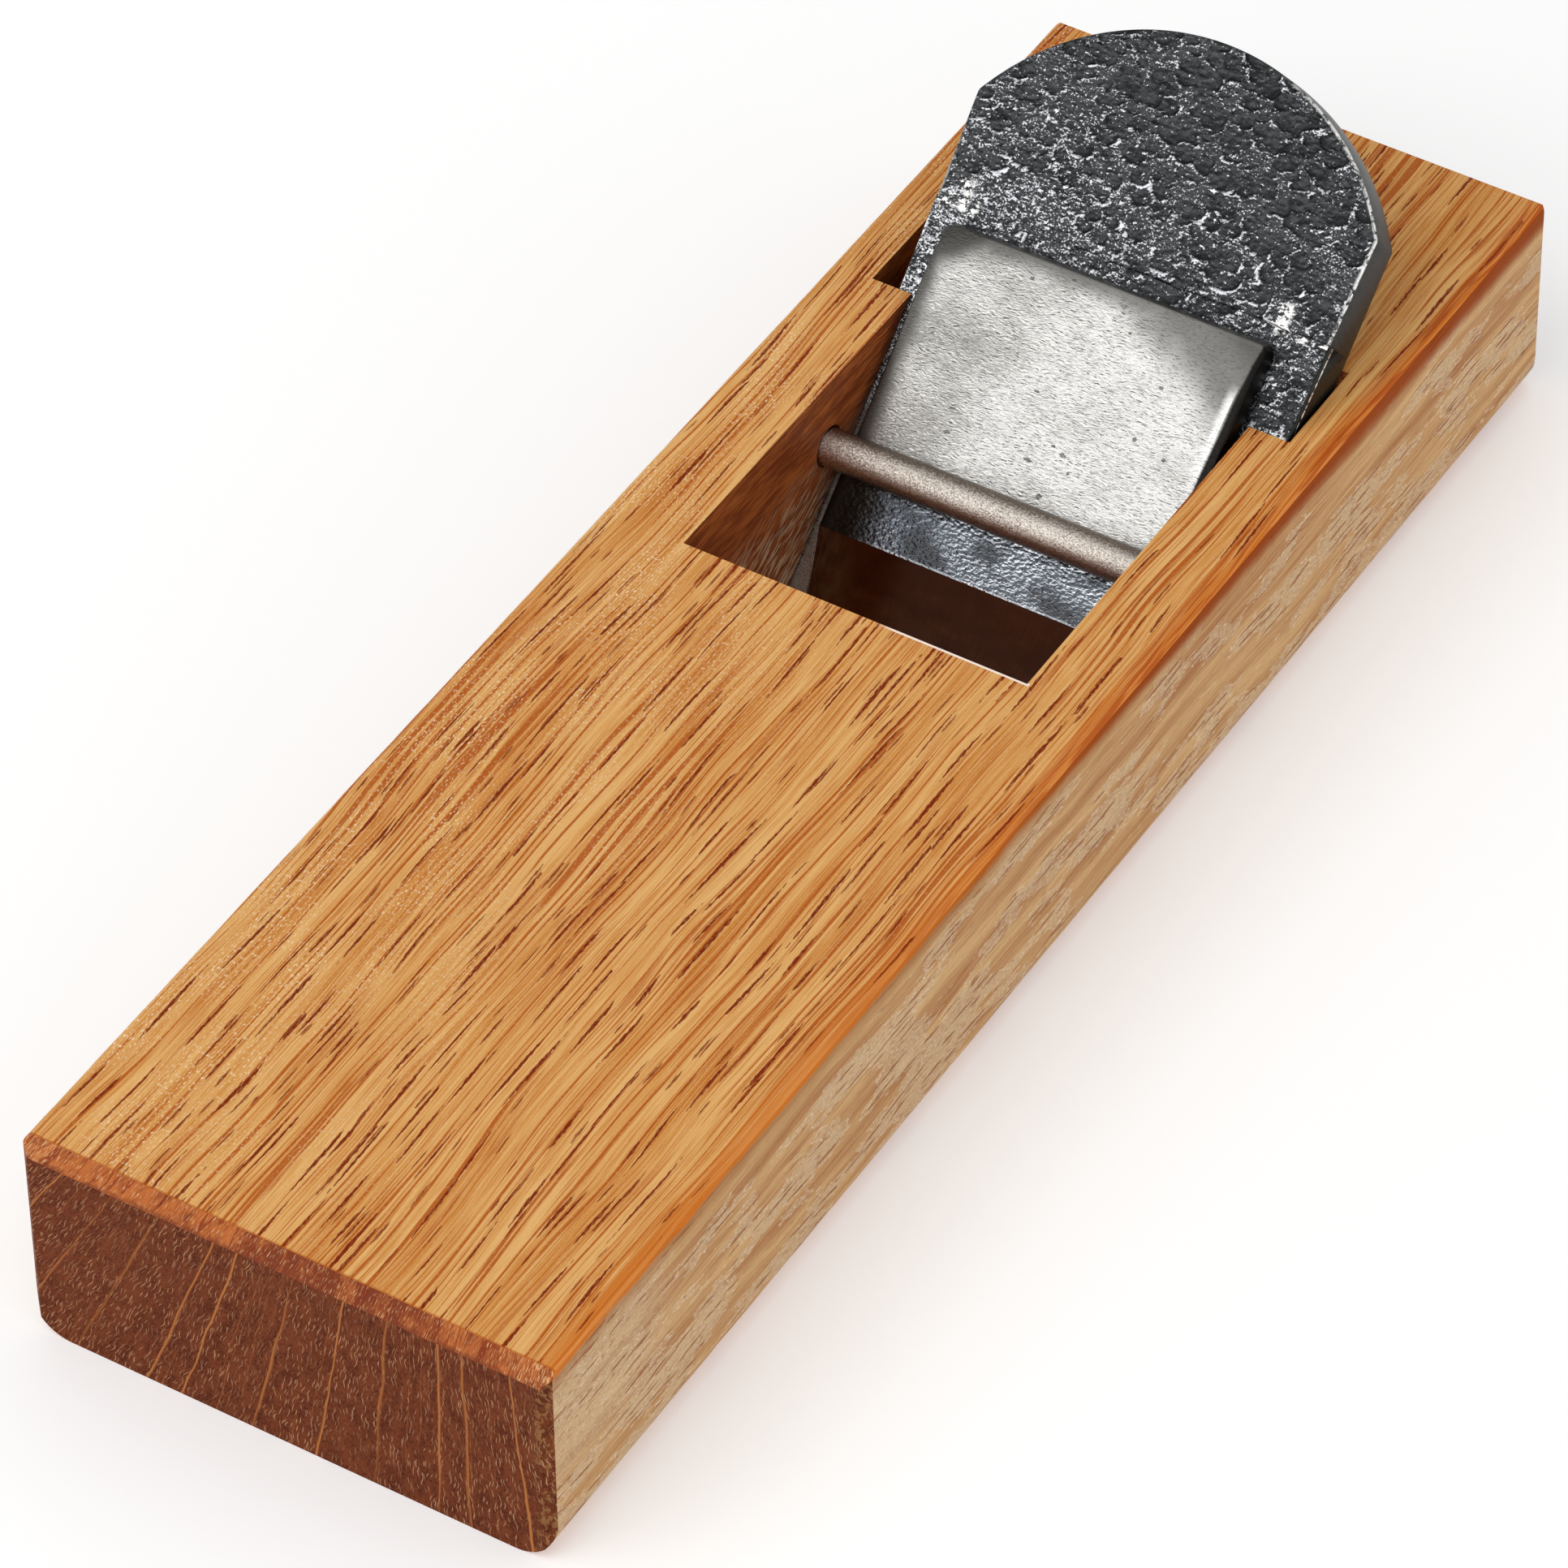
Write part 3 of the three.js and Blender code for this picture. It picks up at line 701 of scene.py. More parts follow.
# Half width by slope below the shoulder, the right side above the seam, the right half of the head arc
def bladeOutline(size, inset):
    apex = size["edge"] + size["length"]
    shoulder = apex - size["headRise"]
    radius = (bladeHalf ** 2 + size["headRise"] ** 2) / (2 * size["headRise"])
    centre = apex - radius
    cornerAcross, cornerUp = size["edgeCorner"]
    lowHalf = bladeHalf - size["sideTaper"]

    def halfAt(slope):
        up = slope - size["edge"]
        if up < cornerUp:
            return lowHalf - cornerAcross * (1 - up / cornerUp) - inset
        return lowHalf + size["sideTaper"] * (up - cornerUp) / (shoulder - size["edge"] - cornerUp) - inset

    def arc(start, end):
        angles = spaced(start, end, size["arcSteps"])
        return [Vector((math.cos(a), math.sin(a))) * (radius - inset) + Vector((0, centre)) for a in angles]

    shoulderAngle = math.asin((shoulder - centre) / radius)
    side = [Vector((halfAt(size["seam"]), size["seam"]))] + arc(shoulderAngle, size["headSplit"])
    return halfAt, side, arc(size["headSplit"], math.pi / 2)


def seamAt(size, x):
    return size["seam"] + noise.noise(Vector((x / 4, 3.1, 0))) * size["seamWaver"]


def thicknessAt(size, slope):
    start = size["reliefStart"]
    full = size["edgeThickness"] + (min(slope, start) - size["edge"]) * math.tan(size["wedge"])
    share = max(0, slope - start) / (size["edge"] + size["length"] - start)
    return full + (size["headThickness"] - full) * share


def waverSeam(rows, size):  # lets the rows next to the weld seam follow it
    for line in rows:
        for point in line:
            share = max(0, 1 - abs(point.y - size["seam"]) / size["seamReach"])
            point.y += (seamAt(size, point.x) - size["seam"]) * share


def makeIron(size):
    layer = size["steelThickness"] + size["weldGap"]
    columns, hiddenRows = size["columns"], size["hiddenRows"]
    grids = []
    for inset, start in ((size["rims"][0], layer), (size["rims"][1], size["edgeThickness"])):
        low = size["edge"] + start / (math.tan(size["bevel"]) - math.tan(size["wedge"])) + inset
        halfAt, side, head = bladeOutline(size, inset)
        hidden = straightRows(halfAt, spaced(low, size["seam"], hiddenRows), columns)
        upper = headRows(hidden[-1], side, head, columns, size["headRows"])
        shown = [[point.copy() for point in hidden[-1]]] + upper
        waverSeam(hidden + shown, size)
        grids.append(hidden + shown)

    def frontOff(point, row):
        return -layer if row <= hiddenRows else 0.0

    def backOff(point, row):
        return -thicknessAt(size, point.y)

    return makePlate("bladeIron", grids[0], grids[1], frontOff, backOff, size["rims"], bladeShift)


def makeSteel(size):
    depth, rims = size["steelThickness"], size["steelRims"]
    grids = []
    for inset, start in zip(rims, (0, depth)):
        halfAt, _, _ = bladeOutline(size, inset)
        low = size["edge"] + start / math.tan(size["bevel"]) + inset
        slopes = spaced(low, size["seam"] - inset, size["steelRows"])
        lines = straightRows(halfAt, slopes, size["columns"])
        waverSeam(lines, size)
        grids.append(lines)
    halfWide, halfLong, deep = size["hollow"]
    middle = size["edge"] + size["hollowAboveEdge"] + halfLong

    def frontOff(point, row):
        out = (point.x / halfWide) ** 2 + ((point.y - middle) / halfLong) ** 2
        return -deep * max(0, 1 - out) ** 1.5

    def backOff(point, row):
        return -depth

    return makePlate("bladeSteel", grids[0], grids[1], frontOff, backOff, rims, bladeShift)


hammer = {
    "Dent Size": 2.3 * mm,  # from one blow to the next, up the slope
    "Dent Stretch": 1.5,  # how much wider across than up
    "Dent Depth": 0.32 * mm,
    "Grit Depth": 0.06 * mm,
    "Fade Start": -6.0 * mm,  # up the slope: below this the face was ground, so the dents die out
    "Fade End": 4.0 * mm,
    "Seed": 4.0,
}
blowLayers = ((0.7, 0.0, 0.95), (0.8, 17.4, 0.66), (0.25, 31.9, 1.35))  # share hit, shift, size


# Overlapping slanting dents, each with a steep lower wall, pushed into the front of the blade
def hammerTree(material):
    tree = bpy.data.node_groups.new("hammer dents", "GeometryNodeTree")
    tree.interface.new_socket("Geometry", in_out="INPUT", socket_type="NodeSocketGeometry")
    for name in hammer:
        tree.interface.new_socket(name, in_out="INPUT", socket_type="NodeSocketFloat")
    tree.interface.new_socket("Geometry", in_out="OUTPUT", socket_type="NodeSocketGeometry")
    p = Pattern(tree)
    inputs = tree.nodes.new("NodeGroupInput").outputs
    given = {name: Field(inputs[name]) for name in hammer}
    place = {"Vector": p.field("GeometryNodeInputPosition"), "Center": (0, faceY, faceZ)}
    place["Angle"] = -face["angle"]
    x, y, _ = p.split(p.field("ShaderNodeVectorRotate", place, rotation_type="X_AXIS"))
    slope = y - faceY

    def blows(share, shift, size):  # one layer of dents: how deep, and where its rim is, 0 to 1; the rim mask carries a painted highlight, the wall mask painted shade
        step = given["Dent Size"] * size
        warpX = (p.cloud(x / step, slope / step, shift) - 0.5) * 0.7
        warpY = (p.cloud(x / step, slope / step, shift + 8) - 0.5) * 0.7
        seed = given["Seed"] + shift
        u = x / (step * given["Dent Stretch"]) + warpX + seed
        dx, dy, (first, second, third) = p.cells(u, slope / step + warpY + seed, 0.95)
        radius = 0.34 + first * 0.24
        reach = calc(tree, "SQRT", dx * dx + dy * dy) / radius
        angle = (second - 0.5) * 2.4
        lean = (dx * calc(tree, "SINE", angle) - dy * calc(tree, "COSINE", angle)) / radius
        here = third.between(1 - share, 1.02 - share)
        inside = (1 - reach.power(6)).atLeast(0)
        bowl = inside * (0.45 + lean * 0.55).atLeast(0.0) * here
        rim = abs(reach - 1.12).between(0.18, 0.0) * lean.between(0.0, 0.8) * here
        wall = reach.between(1.04, 0.96) * lean.between(0.05, 0.9) * here
        return bowl, rim, reach.between(1.0, 0.9) * here, wall

    (bowl1, rimGlint1, inside1, wallShade1), (bowl2, rimGlint2, inside2, wallShade2), (bowl3, rimGlint3, inside3, wallShade3) = (
        blows(*layer) for layer in blowLayers)
    # painted shade on the dents' steep lower walls
    wall = wallShade1.atLeast(wallShade2).atLeast(wallShade3 * 0.8)
    bowl = bowl1.atLeast(bowl2 * 0.8).atLeast(bowl3)
    # rim: where a painted highlight goes along the dents' rims
    rim = (rimGlint1 + rimGlint2 * 0.7 + rimGlint3).clamped() * (1 - bowl * 0.8)
    smooth = inside1.atLeast(inside2 * 0.6).atLeast(inside3)
    grit = p.cloud(x / mm / 0.6, slope / mm / 0.6, 4.0, detail=3, roughness=0.6)
    sparse = p.cloud(x / mm / 9, slope / mm / 9, 7.0) + x / mm * 0.003  # some places were hit less
    strength = slope.between(given["Fade Start"], given["Fade End"])
    strength = strength * (sparse.between(0.34, 0.46) * 0.6 + 0.4)
    depth = bowl * strength * given["Dent Depth"] + (1 - grit) * given["Grit Depth"] * (1 - smooth * 0.6)
    front = p.field("GeometryNodeInputNamedAttribute", {"Name": "frontFace"})
    depth = depth * front
    offset = p.vector(0.0, depth * rise, depth * -run)
    last = p.field("GeometryNodeSetPosition", {"Geometry": Field(inputs["Geometry"]), "Offset": offset})
    shown = strength * front
    # stored for the material: a painted highlight on the rims, painted shade on the walls
    for name, value in (("rim", rim * shown), ("smooth", smooth * shown), ("dentWall", wall * shown)):
        stored = {"Geometry": last, "Name": name, "Value": value}
        last = p.field("GeometryNodeStoreNamedAttribute", stored)
    last = p.field("GeometryNodeRealizeInstances", {0: last})
    dressed = p.add("GeometryNodeSetMaterial", {"Geometry": last, "Material": material})
    output = tree.nodes.new("NodeGroupOutput")
    tree.links.new(dressed.outputs[0], output.inputs[0])
    return tree


def hammered(obj, material):  # runs the dents over a blank and gives it back as a plain mesh
    modifier = obj.modifiers.new("hammer", "NODES")
    modifier.node_group = hammerTree(material)
    for item in modifier.node_group.interface.items_tree:
        if item.in_out == "INPUT" and item.name in hammer:
            modifier[item.identifier] = hammer[item.name]
    evaluated = obj.evaluated_get(bpy.context.evaluated_depsgraph_get())
    data = bpy.data.meshes.new_from_object(evaluated)
    obj.modifiers.remove(modifier)
    obj.data = data
    return obj


iron = {
    "scale": srgb(73, 75, 77),
    "scaleDeep": srgb(34, 36, 36),
    # the scale's own bright specks, and painted glints
    "speckAndGlint": srgb(228, 230, 234),
    # painted shade in the dents
    "dentWall": srgb(20, 21, 22),
    "honed": srgb(190, 186, 180),
    "side": srgb(50, 51, 48),
    "worn": srgb(250, 249, 246),
    "seamShown": (19, 21),  # mm from the middle: the weld seam is bright from here out
    "chip": (22.3, 13.4),  # mm across and up the slope: a bright chip on each side
    "honedFrom": (-12, -18),
    "metallic": 0.85,
    "relief": 0.00016,
}


def ironMaterial(look):
    material, p, shader = newMaterial("forged iron")
    x, slope, off = facePlace(p)

    def stored(name):
        return p.field("ShaderNodeAttribute", output="Fac", attribute_name=name)

    rim, smooth, wall = stored("rim"), stored("smooth"), stored("dentWall")
    front, worn = stored("frontFace"), stored("arris")
    fine = p.cloud(x / 0.3, slope / 0.24, off / 0.26, detail=2, roughness=0.6)
    coarse = p.cloud(x / 0.9, slope / 0.7, off / 0.7, detail=3, roughness=0.6)
    patchy = p.cloud(x / 7, slope / 7, off / 6)
    # painted light and shade: the lit and shaded sides of small lumps darken and lighten the scale's tone
    # and specks
    lit = p.relief(x / 0.8, slope / 0.6, off / 0.7, (-0.12, 0.3), detail=2)
    tone = ((coarse - 0.5) * 1.6 + (patchy - 0.5) + 0.25 + smooth * 0.3 - lit * 3).clamped()
    colour = p.blend(tone, look["scale"], look["scaleDeep"])
    shineZone = slope.between(34, 10) * 0.5 + x.between(10, -22) * 0.3 + (patchy - 0.5)  # painted glints: where the face shines most
    shineZone = shineZone + x.between(-21, -24) * slope.between(14, 8) * 0.4
    glintCluster = p.cloud(x / 5, slope / 4, 9.0, detail=1).between(0.48, 0.6) * slope.between(32, 24)
    # the scale's own specks mixed with painted glints on lit lump sides, dent rims and shiny zones
    speckAndGlint = fine + (coarse - 0.5) * 0.5 + lit * 0.5 + shineZone * 0.12 - smooth * 0.1
    speckAndGlint = (speckAndGlint + rim * (glintCluster * 0.5 + 0.28)).between(0.582, 0.76) * front
    colour = p.blend(speckAndGlint * 0.95, colour, look["speckAndGlint"])
    # painted shade on the dents' steep lower walls
    colour = p.blend(wall * 0.85, colour, look["dentWall"])
    seam = abs(slope - blade["seam"]).between(1.1, 0.4) * abs(x).between(*look["seamShown"])
    seam = seam * p.cloud(x / 1.4, slope / 1.0, 2.0, detail=2).between(0.54, 0.6) * front
    chipAcross, chipUp = look["chip"]
    chip = abs(abs(x + (fine - 0.5) * 2) - chipAcross).between(1.0, 0.5)
    chip = chip * abs(slope - chipUp).between(2.4, 1.2)
    seam = seam.atLeast(chip * coarse.between(0.42, 0.5) * front)
    edge = worn * p.cloud(x / 0.8, slope / 0.8, off / 0.5, detail=4, roughness=0.75).between(0.42, 0.54)
    edge = edge * x.between(9, 15).atLeast(slope.between(24, 18) * 0.5)
    bright = edge.atLeast(seam)
    honed = slope.between(*look["honedFrom"]) * front
    colour = p.blend(honed, colour, p.blend(tone * 0.3, look["honed"], look["scale"]))
    colour = p.blend(1 - front, colour, p.blend(tone, look["side"], look["scaleDeep"]))
    colour = p.blend(bright, colour, look["worn"])
    dull = 0.42 + smooth * 0.04 - speckAndGlint * 0.12 - bright * 0.1 - honed * 0.12
    fill(shader, {"Base Color": colour, "Roughness": dull, "Metallic": look["metallic"]})
    grit = (fine * 0.8 + coarse) * (1 - smooth * 0.75) * (front * 0.85 + 0.15) * (1 - honed)
    addBump(p, shader, grit, look["relief"])
    return material


# Chip breaker

breaker = {
    "top": 9.8,
    "edge": -44.37,
    "thickness": 2.1,
    "land": 0.35,
    "bevelLength": 13.5,
    "lift": 0.9,
    "gap": 0.3,
    "corner": 1.6,
    "cornerSteps": 16,
    "edgeCorner": 2.5,
    "earReach": 7,
    "earBend": 1.2,
    "rims": (0.8, 0.15),  # how far the front and the back grid end before the outline
    "rounds": (0.3, 0.1),
    "columns": 96,
    "bevelRows": 28,
    "rows": 92,
    "droop": 1.2,  # the upper corners are bent down into the ears
    "droopReach": 9,
    "curl": 0.5,  # the head end bends back a little
    "curlLength": 5,
    "ease": 0.12,  # and so do the long edges
    "easeWidth": 1.6,
    "hollow": 0.18,  # the bevel is ground on a wheel
    "crisp": 0.06,  # rows this close to the bevel line keep it sharp
}
breakerShift = (breakerLow.x + breakerHigh.x) / 2
breakerHalf = (breakerHigh.x - breakerLow.x) / 2 / mm


bevelTop = breaker["edge"] + breaker["bevelLength"]


def makeBreaker(size):
    corner, steps = size["corner"], size["cornerSteps"]
    centre = Vector((breakerHalf - corner, size["top"] - corner))
    aboveBevel = bevelTop + size["crisp"]
    length = size["top"] - size["edge"]
    grids = []
    for inset in size["rims"]:
        def halfAt(slope):
            share = min(1, (slope - size["edge"]) / size["bevelLength"])
            return breakerHalf - size["edgeCorner"] * (1 - share) - inset

        slopes = spaced(size["edge"] + inset, bevelTop - size["crisp"], size["bevelRows"])
        low = straightRows(halfAt, slopes + [bevelTop, aboveBevel], size["columns"])
        arc = [centre + Vector((math.cos(a), math.sin(a))) * (corner - inset)
               for a in spaced(0, math.pi / 2, steps)]
        side = [Vector((low[-1][-1].x, aboveBevel))] + arc[:steps // 2 + 1]
        head = arc[steps // 2:] + [Vector((0, size["top"] - inset))]
        grids.append(low + headRows(low[-1], side, head, size["columns"], size["rows"]))

    def underside(slope):
        return size["gap"] + size["lift"] * (slope - size["edge"]) / length

    def cornerReach(point):  # how far a point is into an upper corner, measured slantwise
        return abs(point.x) - breakerHalf + point.y - size["top"]

    def frontOff(point, row):
        share = min(1, (point.y - size["edge"]) / size["bevelLength"])
        off = underside(point.y) + size["land"] + (size["thickness"] - size["land"]) * share
        off -= 4 * size["hollow"] * share * (1 - share)
        into = max(0, cornerReach(point) + size["droopReach"]) / size["droopReach"]
        curled = max(0, point.y - size["top"] + size["curlLength"]) / size["curlLength"]
        eased = max(0, abs(point.x) - breakerHalf + size["easeWidth"]) / size["easeWidth"]
        eased *= min(1, max(0, point.y - bevelTop) / size["easeWidth"])
        return off - size["droop"] * into ** 2 - size["curl"] * curled ** 2 - size["ease"] * eased ** 2

    def backOff(point, row):
        low = underside(point.y)
        share = min(1, max(0, cornerReach(point) + size["earReach"]) / size["earBend"])
        return low - (low - size["gap"]) * share * share * (3 - 2 * share)

    return makePlate("chipBreaker", grids[0], grids[1], frontOff, backOff, size["rounds"], breakerShift)


ground = {
    "plate": srgb(206, 205, 202),
    # darker plate: its own cloudy tone, and painted shade
    "plateDeepAndShade": srgb(138, 136, 132),
    # painted highlight along the fold of the right ear
    "crease": srgb(222, 222, 220),
    "scratch": srgb(88, 86, 82),
    "skin": srgb(48, 46, 42),  # left dark on the ears and the edges
    "skinLight": srgb(98, 96, 92),
    # painted shade beyond the fold
    "pastFoldShade": srgb(36, 34, 32),
    # the colour of the painted glints on the forged skin and of the painted highlight lines
    "forged": srgb(214, 218, 222),
    "forgedDeep": srgb(72, 77, 84),
    "bevel": srgb(128, 112, 100),
    "bevelDeep": srgb(106, 90, 78),
    "wrinkle": {"cell": (0.32, 0.95), "width": 0.13, "length": 0.8, "share": 0.6},
    "pit": {"cell": (5, 5), "width": 0.5, "length": 0.8, "share": 0.25},
    "lean": 0.06,  # the wrinkles lean this much from straight across
    "leftSkin": (3.6, 1.2),  # mm in from the left edge: dark between these
    "headSkin": 3.4,
    "fold": 1.2,  # mm in from the right edge, where the plate bends down
    "foldFrom": (-12, -6),  # mm up the slope
    "foldTo": (4, 1),
    "forgedFrom": (-20.4, -23.0),  # mm up the slope: below this the plate keeps its forged skin
    "lip": (0.5, 0.3),  # mm above the edge: the painted highlight along the edge lies between these
    "relief": 0.00006,
}


def groundMaterial(look):
    material, p, shader = newMaterial("ground steel")
    x, slope, off = facePlace(p)
    up = slope - x * look["lean"] + (p.cloud(x / 2, slope / 2, off) - 0.5) * 0.9
    brushed = p.cloud(x / 0.6, up / 0.14, off, detail=2, roughness=0.55)
    cloudy = p.cloud(x / 9, slope / 7, off)
    # painted light and shade: the lit and shaded sides of the plate's fine creases, in its tone, its
    # scratches and its dark skin
    creaseShading = p.relief(x / 0.7, up / 0.2, off, (0.0, 0.4), detail=2, roughness=0.6)
    lampFadeShade = x.between(4, -19) * 0.6 + slope.between(-14, -21) * 0.25  # painted shade: darker to the left and low on the plate, where the lamp's reflection fades
    tone = (creaseShading * 4.4 + (cloudy - 0.5) * 1.8 + lampFadeShade + 0.12).clamped()
    colour = p.blend(tone, look["plate"], look["plateDeepAndShade"])
    wrinkle = p.dashes(up, x, look["wrinkle"], 0.0, (brushed - 0.5) * 1.5)
    pit = p.dashes(slope, x, look["pit"], 4.4, (brushed - 0.5) * 2)
    colour = p.blend(wrinkle * creaseShading.between(-0.02, 0.08) * 0.9, colour, look["scratch"])
    colour = p.blend(pit * 0.8, colour, look["scratch"])
    soft = (cloudy - 0.5) * 3
    fromLeft, toLeft = look["leftSkin"]
    left = (x - breakerShift / mm - soft * 0.4).between(-breakerHalf + fromLeft, -breakerHalf + toLeft)
    headStart = x.between(-4, 18) * -3 + breaker["top"] - look["headSkin"]
    head = (slope + soft * 0.6).between(headStart, breaker["top"] - 0.8) * 0.8
    leftEar = (slope - x + soft).between(breakerHalf - 2, breakerHalf + 3.5)
    rightEar = (slope * 1.6 + x + soft * 2).between(breakerHalf - 11, breakerHalf + 1) * 0.85
    beyond = x - breakerHalf + look["fold"] - soft * 0.15 - (slope - 6) * 0.05  # past the fold
    dull = left.atLeast(head).atLeast(leftEar).atLeast(rightEar)
    dulled = p.blend((0.5 - creaseShading * 5).clamped(), look["skinLight"], look["skin"])
    colour = p.blend(dull * 0.92, colour, dulled)
    # painted shade: dark beyond the fold, where the plate turns away
    colour = p.blend(beyond.between(0.1, 0.5), colour, look["pastFoldShade"])
    # painted highlight: a bright line where the plate bends down at the right
    fold = beyond.between(-1.4, -0.2) * beyond.between(0.2, 0.0)
    fold = fold * slope.between(*look["foldFrom"]) * slope.between(*look["foldTo"])
    colour = p.blend(fold, colour, look["crease"])
    forged = (slope + (cloudy - 0.5) * 3).between(*look["forgedFrom"])
    polished = slope.between(bevelTop + 0.05, bevelTop - 0.05)
    lumps = p.cloud(x / 0.6, slope / 0.42, off, detail=1.5, roughness=0.5)
    # painted light and shade below the pin: dark left of x -19 mm, where the plate reflects the cheek,
    # painted glints on lit lump sides to the right
    lit = p.relief(x / 0.6, slope / 0.42, off, (-0.12, 0.28), detail=1.5)
    shine = x.between(-19, -13) * (p.cloud(x / 6, slope / 4, 3.0).between(0.34, 0.56) * 0.55 + 0.45)
    glints = (lit + shine * 0.07).between(0.02, 0.26) * shine * x.between(-14, 0).atLeast(0.35)
    skin = p.blend(glints, look["forgedDeep"], look["forged"])
    colour = p.blend(forged, colour, p.blend(shine, look["skin"], skin))
    # painted highlight: a thin bright line along the top of the bevel on the left
    brow = abs(slope - bevelTop - 0.15).between(0.2, 0.08) * x.between(-18, -12)
    colour = p.blend(brow * 0.3, colour, look["forged"])
    stroke = p.cloud(x / 0.09, slope / 4, off, detail=2, roughness=0.6)  # the stone's strokes up the bevel
    worn = p.cloud(x / 5, slope / 2.5, 6.0, detail=3)
    shade = ((stroke - 0.5) * 1.8 + (worn - 0.5) * 2 + 0.4).clamped()
    honed = p.blend(shade, look["bevel"], look["bevelDeep"])
    # painted highlight along the very edge
    lip = slope.between(*(breaker["edge"] + up for up in look["lip"]))
    honed = p.blend(lip, honed, look["forged"])
    colour = p.blend(polished, colour, honed)
    rough = 0.33 + (brushed - 0.5) * 0.2 - forged * 0.1 + dull * 0.12
    smooth = (stroke - 0.5) * 0.14 + (worn - 0.5) * 0.1 + 0.08
    rough = rough + (smooth - rough) * polished
    fill(shader, {"Base Color": colour, "Roughness": rough, "Metallic": 1})
    plain = (brushed - wrinkle * 0.4 - pit) * (1 - forged) * (1 - dull * 0.7)
    lumps = lumps * (x.between(-20, -6) * 1.9 + 0.9) * forged * (1 - polished)
    addBump(p, shader, plain + lumps + stroke * polished * 0.04, look["relief"])
    return material


# Cross pin

pin = {
    "segments": 72,
    "rings": 40,
    "easeSteps": 4,
    "endEase": 0.4,
    "waver": 0.02,
    "wave": 4,  # mm from one slight swelling to the next
    "light": srgb(230, 222, 212),
    "deep": srgb(128, 112, 98),
    "shadeFrom": (0.8, 2.4),  # mm behind the axis
    "relief": 0.0001,
}


def makePin(size, material):
    radius = (pinHigh.z - pinLow.z) / 2
    middleY = (pinLow.y + pinHigh.y) / 2
    middleZ = (pinLow.z + pinHigh.z) / 2
    ease = size["endEase"] * mm
    turns = [math.pi / 2 * (1 - step / size["easeSteps"]) for step in range(size["easeSteps"] + 1)]
    leftEnd = [(pinLow.x + ease * (1 - math.sin(turn)), radius - ease * (1 - math.cos(turn)))
               for turn in turns]
    rightEnd = [(pinLow.x + pinHigh.x - x, ringRadius) for x, ringRadius in reversed(leftEnd)]
    span = pinHigh.x - pinLow.x - 2 * ease
    shaft = [(pinLow.x + ease + span * step / size["rings"], radius) for step in range(1, size["rings"])]
    profile = leftEnd + shaft + rightEnd  # (x, radius) from the left end to the right
    work = bmesh.new()
    rings = []
    for x, ringRadius in profile:
        ring = []
        for segment in range(size["segments"]):
            turn = math.tau * segment / size["segments"]
            spot = Vector((x, math.cos(turn) * ringRadius, math.sin(turn) * ringRadius))
            inward = abs(noise.noise(spot / mm / size["wave"])) * size["waver"] * mm
            ring.append(work.verts.new((x, middleY + math.cos(turn) * (ringRadius - inward),
                                        middleZ + math.sin(turn) * (ringRadius - inward))))
        rings.append(ring)
    for left, right in zip(rings, rings[1:]):
        for k in range(size["segments"]):
            n = (k + 1) % size["segments"]
            work.faces.new([left[k], left[n], right[n], right[k]])
    work.faces.new(list(reversed(rings[0])))
    work.faces.new(rings[-1])
    bmesh.ops.recalc_face_normals(work, faces=work.faces)
    data = smoothMesh("crossPin", work)
    data.materials.append(material)
    return addObject("crossPin", data)


def pinMaterial(look):
    material, p, shader = newMaterial("pin steel")
    x, y, z = objectPlace(p)
    grain = p.cloud(x / 0.26, y / 0.2, z / 0.2, detail=3, roughness=0.75)
    cloudy = p.cloud(x / 5, y / 3, z / 3)
    behind = (y + z - (pinLow.y + pinHigh.y + pinLow.z + pinHigh.z) / 2 / mm) * 0.7  # 0 on the axis
    shade = behind.between(*look["shadeFrom"])
    tone = ((grain - 0.5) * 4 + (cloudy - 0.5) * 0.6 + 0.25 + shade * 0.9).clamped()
    colour = p.blend(tone, look["light"], look["deep"])
    fill(shader, {"Base Color": colour, "Roughness": 0.24 + (grain - 0.5) * 0.2, "Metallic": 1})
    addBump(p, shader, grain, look["relief"])
    return material


# Studio

studio = {
    "aim": (0, 0.03, 0.03),
    "key": {"from": (-0.34, -0.62, 0.70), "distance": 1.2, "size": (1.2, 1.2), "power": 5.5},
    "wall": (0.95, 0.95, 0.95, 1),
    "rightWall": (1.85, 1.84, 1.82, 1),
    "ceiling": (0.72, 0.72, 0.72, 1),
    "backCeiling": (0.66, 0.66, 0.66, 1),
    "leftCeiling": (0.2, 0.2, 0.2, 1),
    "floorReach": 6.0,
    "floor": {"Base Color": (0.86, 0.86, 0.86, 1), "Roughness": 0.9, "Specular IOR Level": 0.1},
    "floorGlow": 0.26,
}


def makeLamp(name, look, aim):
    data = bpy.data.lights.new(name, "AREA")
    data.shape = "RECTANGLE"
    data.size, data.size_y = look["size"]
    data.energy = look["power"]
    obj = addObject(name, data)
    toward = Vector(look["from"]).normalized()
    obj.location = Vector(aim) + toward * look["distance"]
    obj.rotation_euler = toward.to_track_quat("Z", "Y").to_euler()
    obj.visible_camera = False


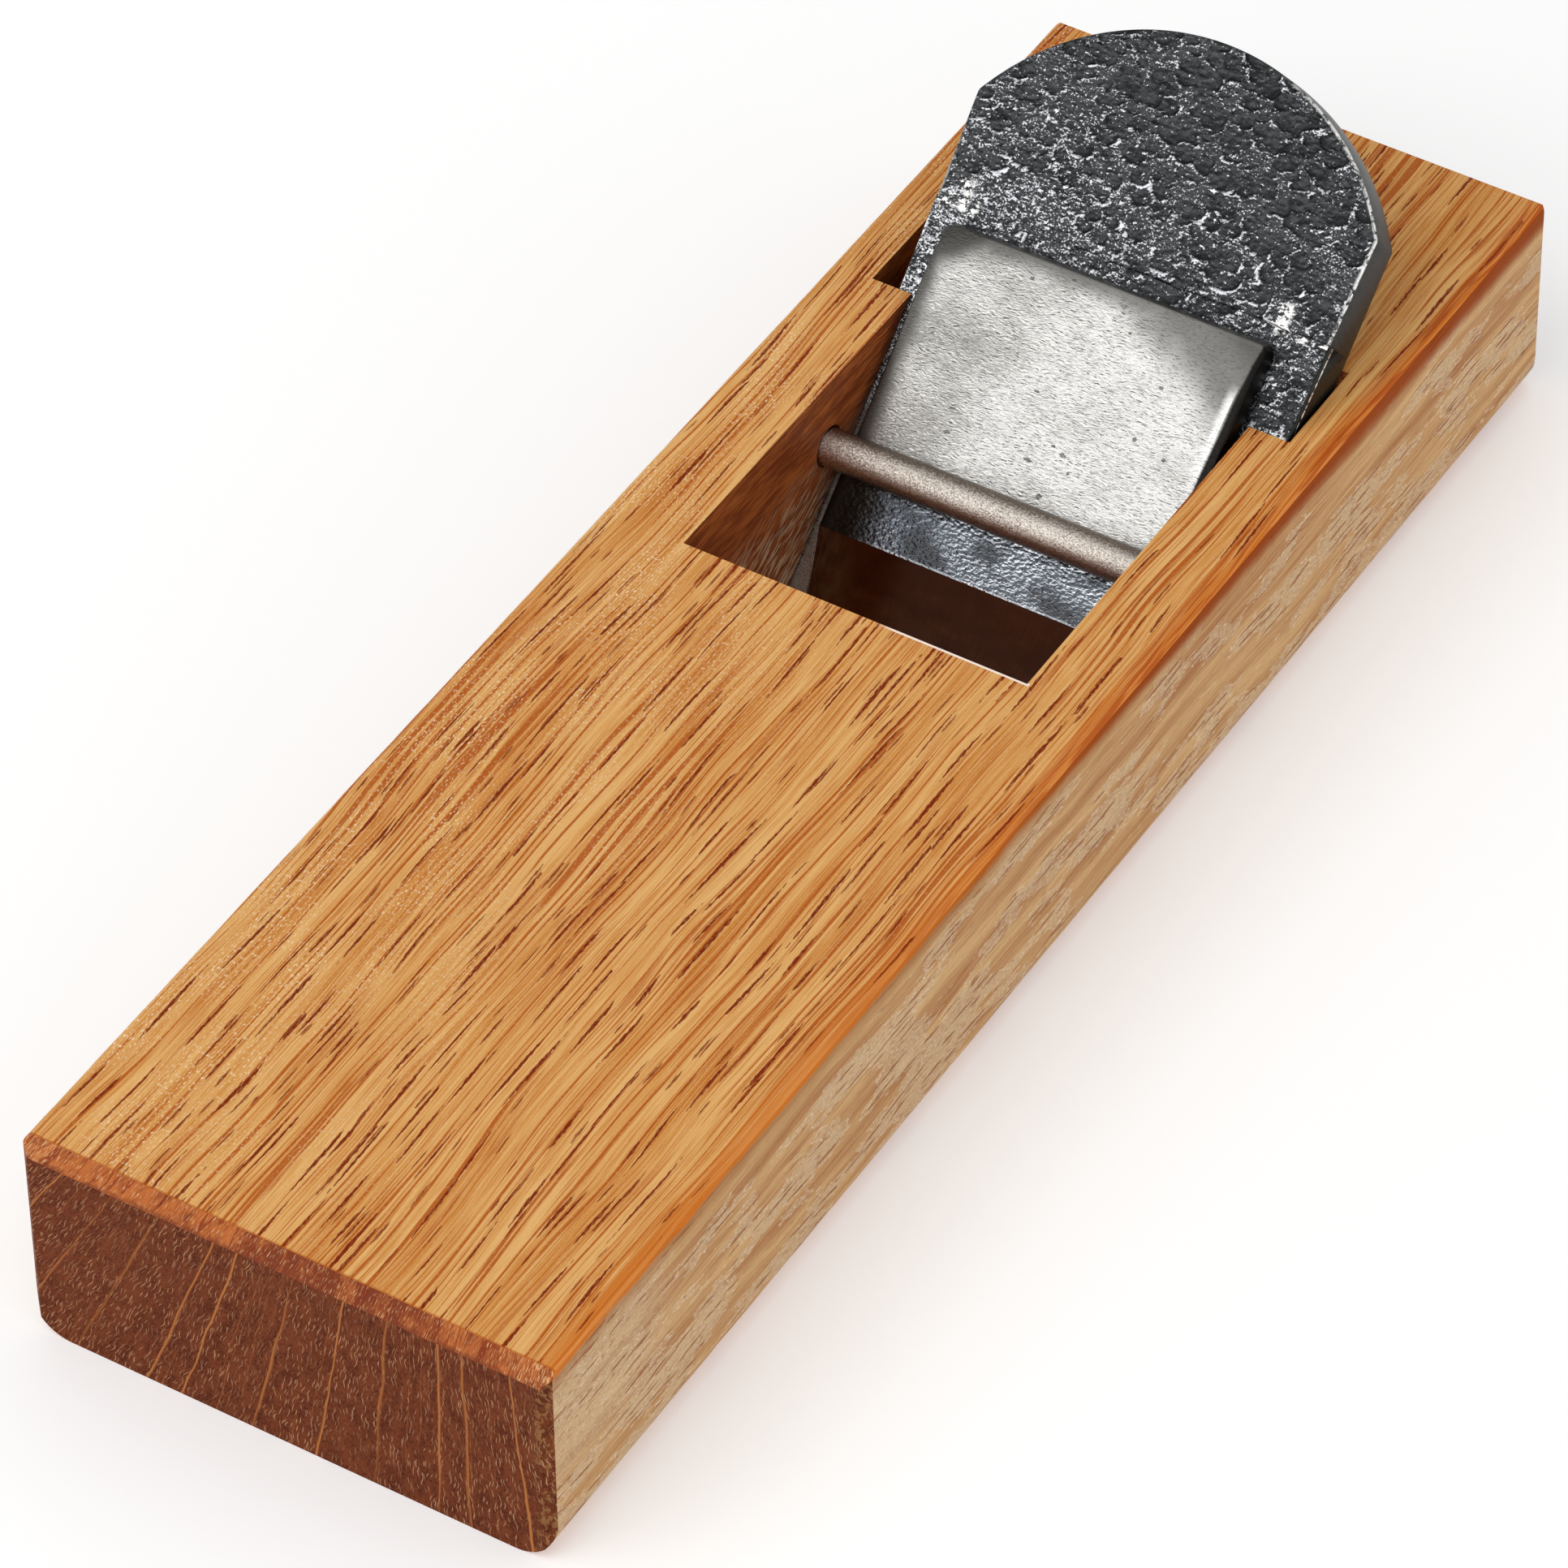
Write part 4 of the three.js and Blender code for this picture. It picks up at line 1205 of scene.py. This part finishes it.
def makeSky(look):  # pale walls, brightest on the right, under a dimmer ceiling
    world = bpy.data.worlds.new("studio")
    bpy.context.scene.world = world
    world.use_nodes = True
    p = Pattern(world.node_tree)
    background = next(node for node in world.node_tree.nodes if node.type == "BACKGROUND")
    right, back, up = p.split(p.field("ShaderNodeTexCoord", output="Generated"))
    walls = p.blend(right.between(0.2, 0.8), look["wall"], look["rightWall"])
    ceiling = p.blend(back.between(-0.3, 0.4), look["ceiling"], look["backCeiling"])
    ceiling = p.blend(right.between(-0.45, -0.8), ceiling, look["leftCeiling"])
    put(p.blend(up.between(0.15, 0.45), walls, ceiling), background.inputs["Color"])


def makeFloor(look):
    data = bpy.data.meshes.new("floor")
    reach = look["floorReach"]
    corners = [(-reach, -reach, 0), (reach, -reach, 0), (reach, reach, 0), (-reach, reach, 0)]
    data.from_pydata(corners, [], [(0, 1, 2, 3)])
    obj = addObject("floor", data)
    material, p, shader = newMaterial("floor")
    fill(shader, look["floor"])
    path = p.add("ShaderNodeLightPath").outputs
    seen = Field(path["Is Camera Ray"]) + Field(path["Is Glossy Ray"]) + Field(path["Is Transmission Ray"])
    glow = p.add("ShaderNodeEmission", {"Strength": seen * look["floorGlow"]})
    both = p.add("ShaderNodeAddShader")
    output = next(node for node in material.node_tree.nodes if node.type == "OUTPUT_MATERIAL")
    links = material.node_tree.links
    links.new(shader.outputs[0], both.inputs[0])
    links.new(glow.outputs[0], both.inputs[1])
    links.new(both.outputs[0], output.inputs["Surface"])
    data.materials.append(material)


def dress(obj, body, node):
    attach(obj, body)
    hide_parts(node)
    print("made", obj.name)


bpy.context.scene.view_settings.view_transform = "Standard"
makeCamera(camera)
makeSky(studio)
makeLamp("key", studio["key"], studio["aim"])
makeFloor(studio)
print("studio ready")

woods = [cut(oak) for cut in (oakTop, oakSide, oakEnd, oakEdge, oakWall)]
dress(makeBlock(block, woods), "block", "plane_body")
forged = ironMaterial(iron)
dress(hammered(makeIron(blade), forged), "blade", "blade_iron")
dress(hammered(makeSteel(blade), forged), "blade", "blade_steel")
plate = makeBreaker(breaker)
plate.data.materials.append(groundMaterial(ground))
dress(plate, "breaker", "chip_breaker")
dress(makePin(pin, pinMaterial(pin)), "block", "cross_pin")
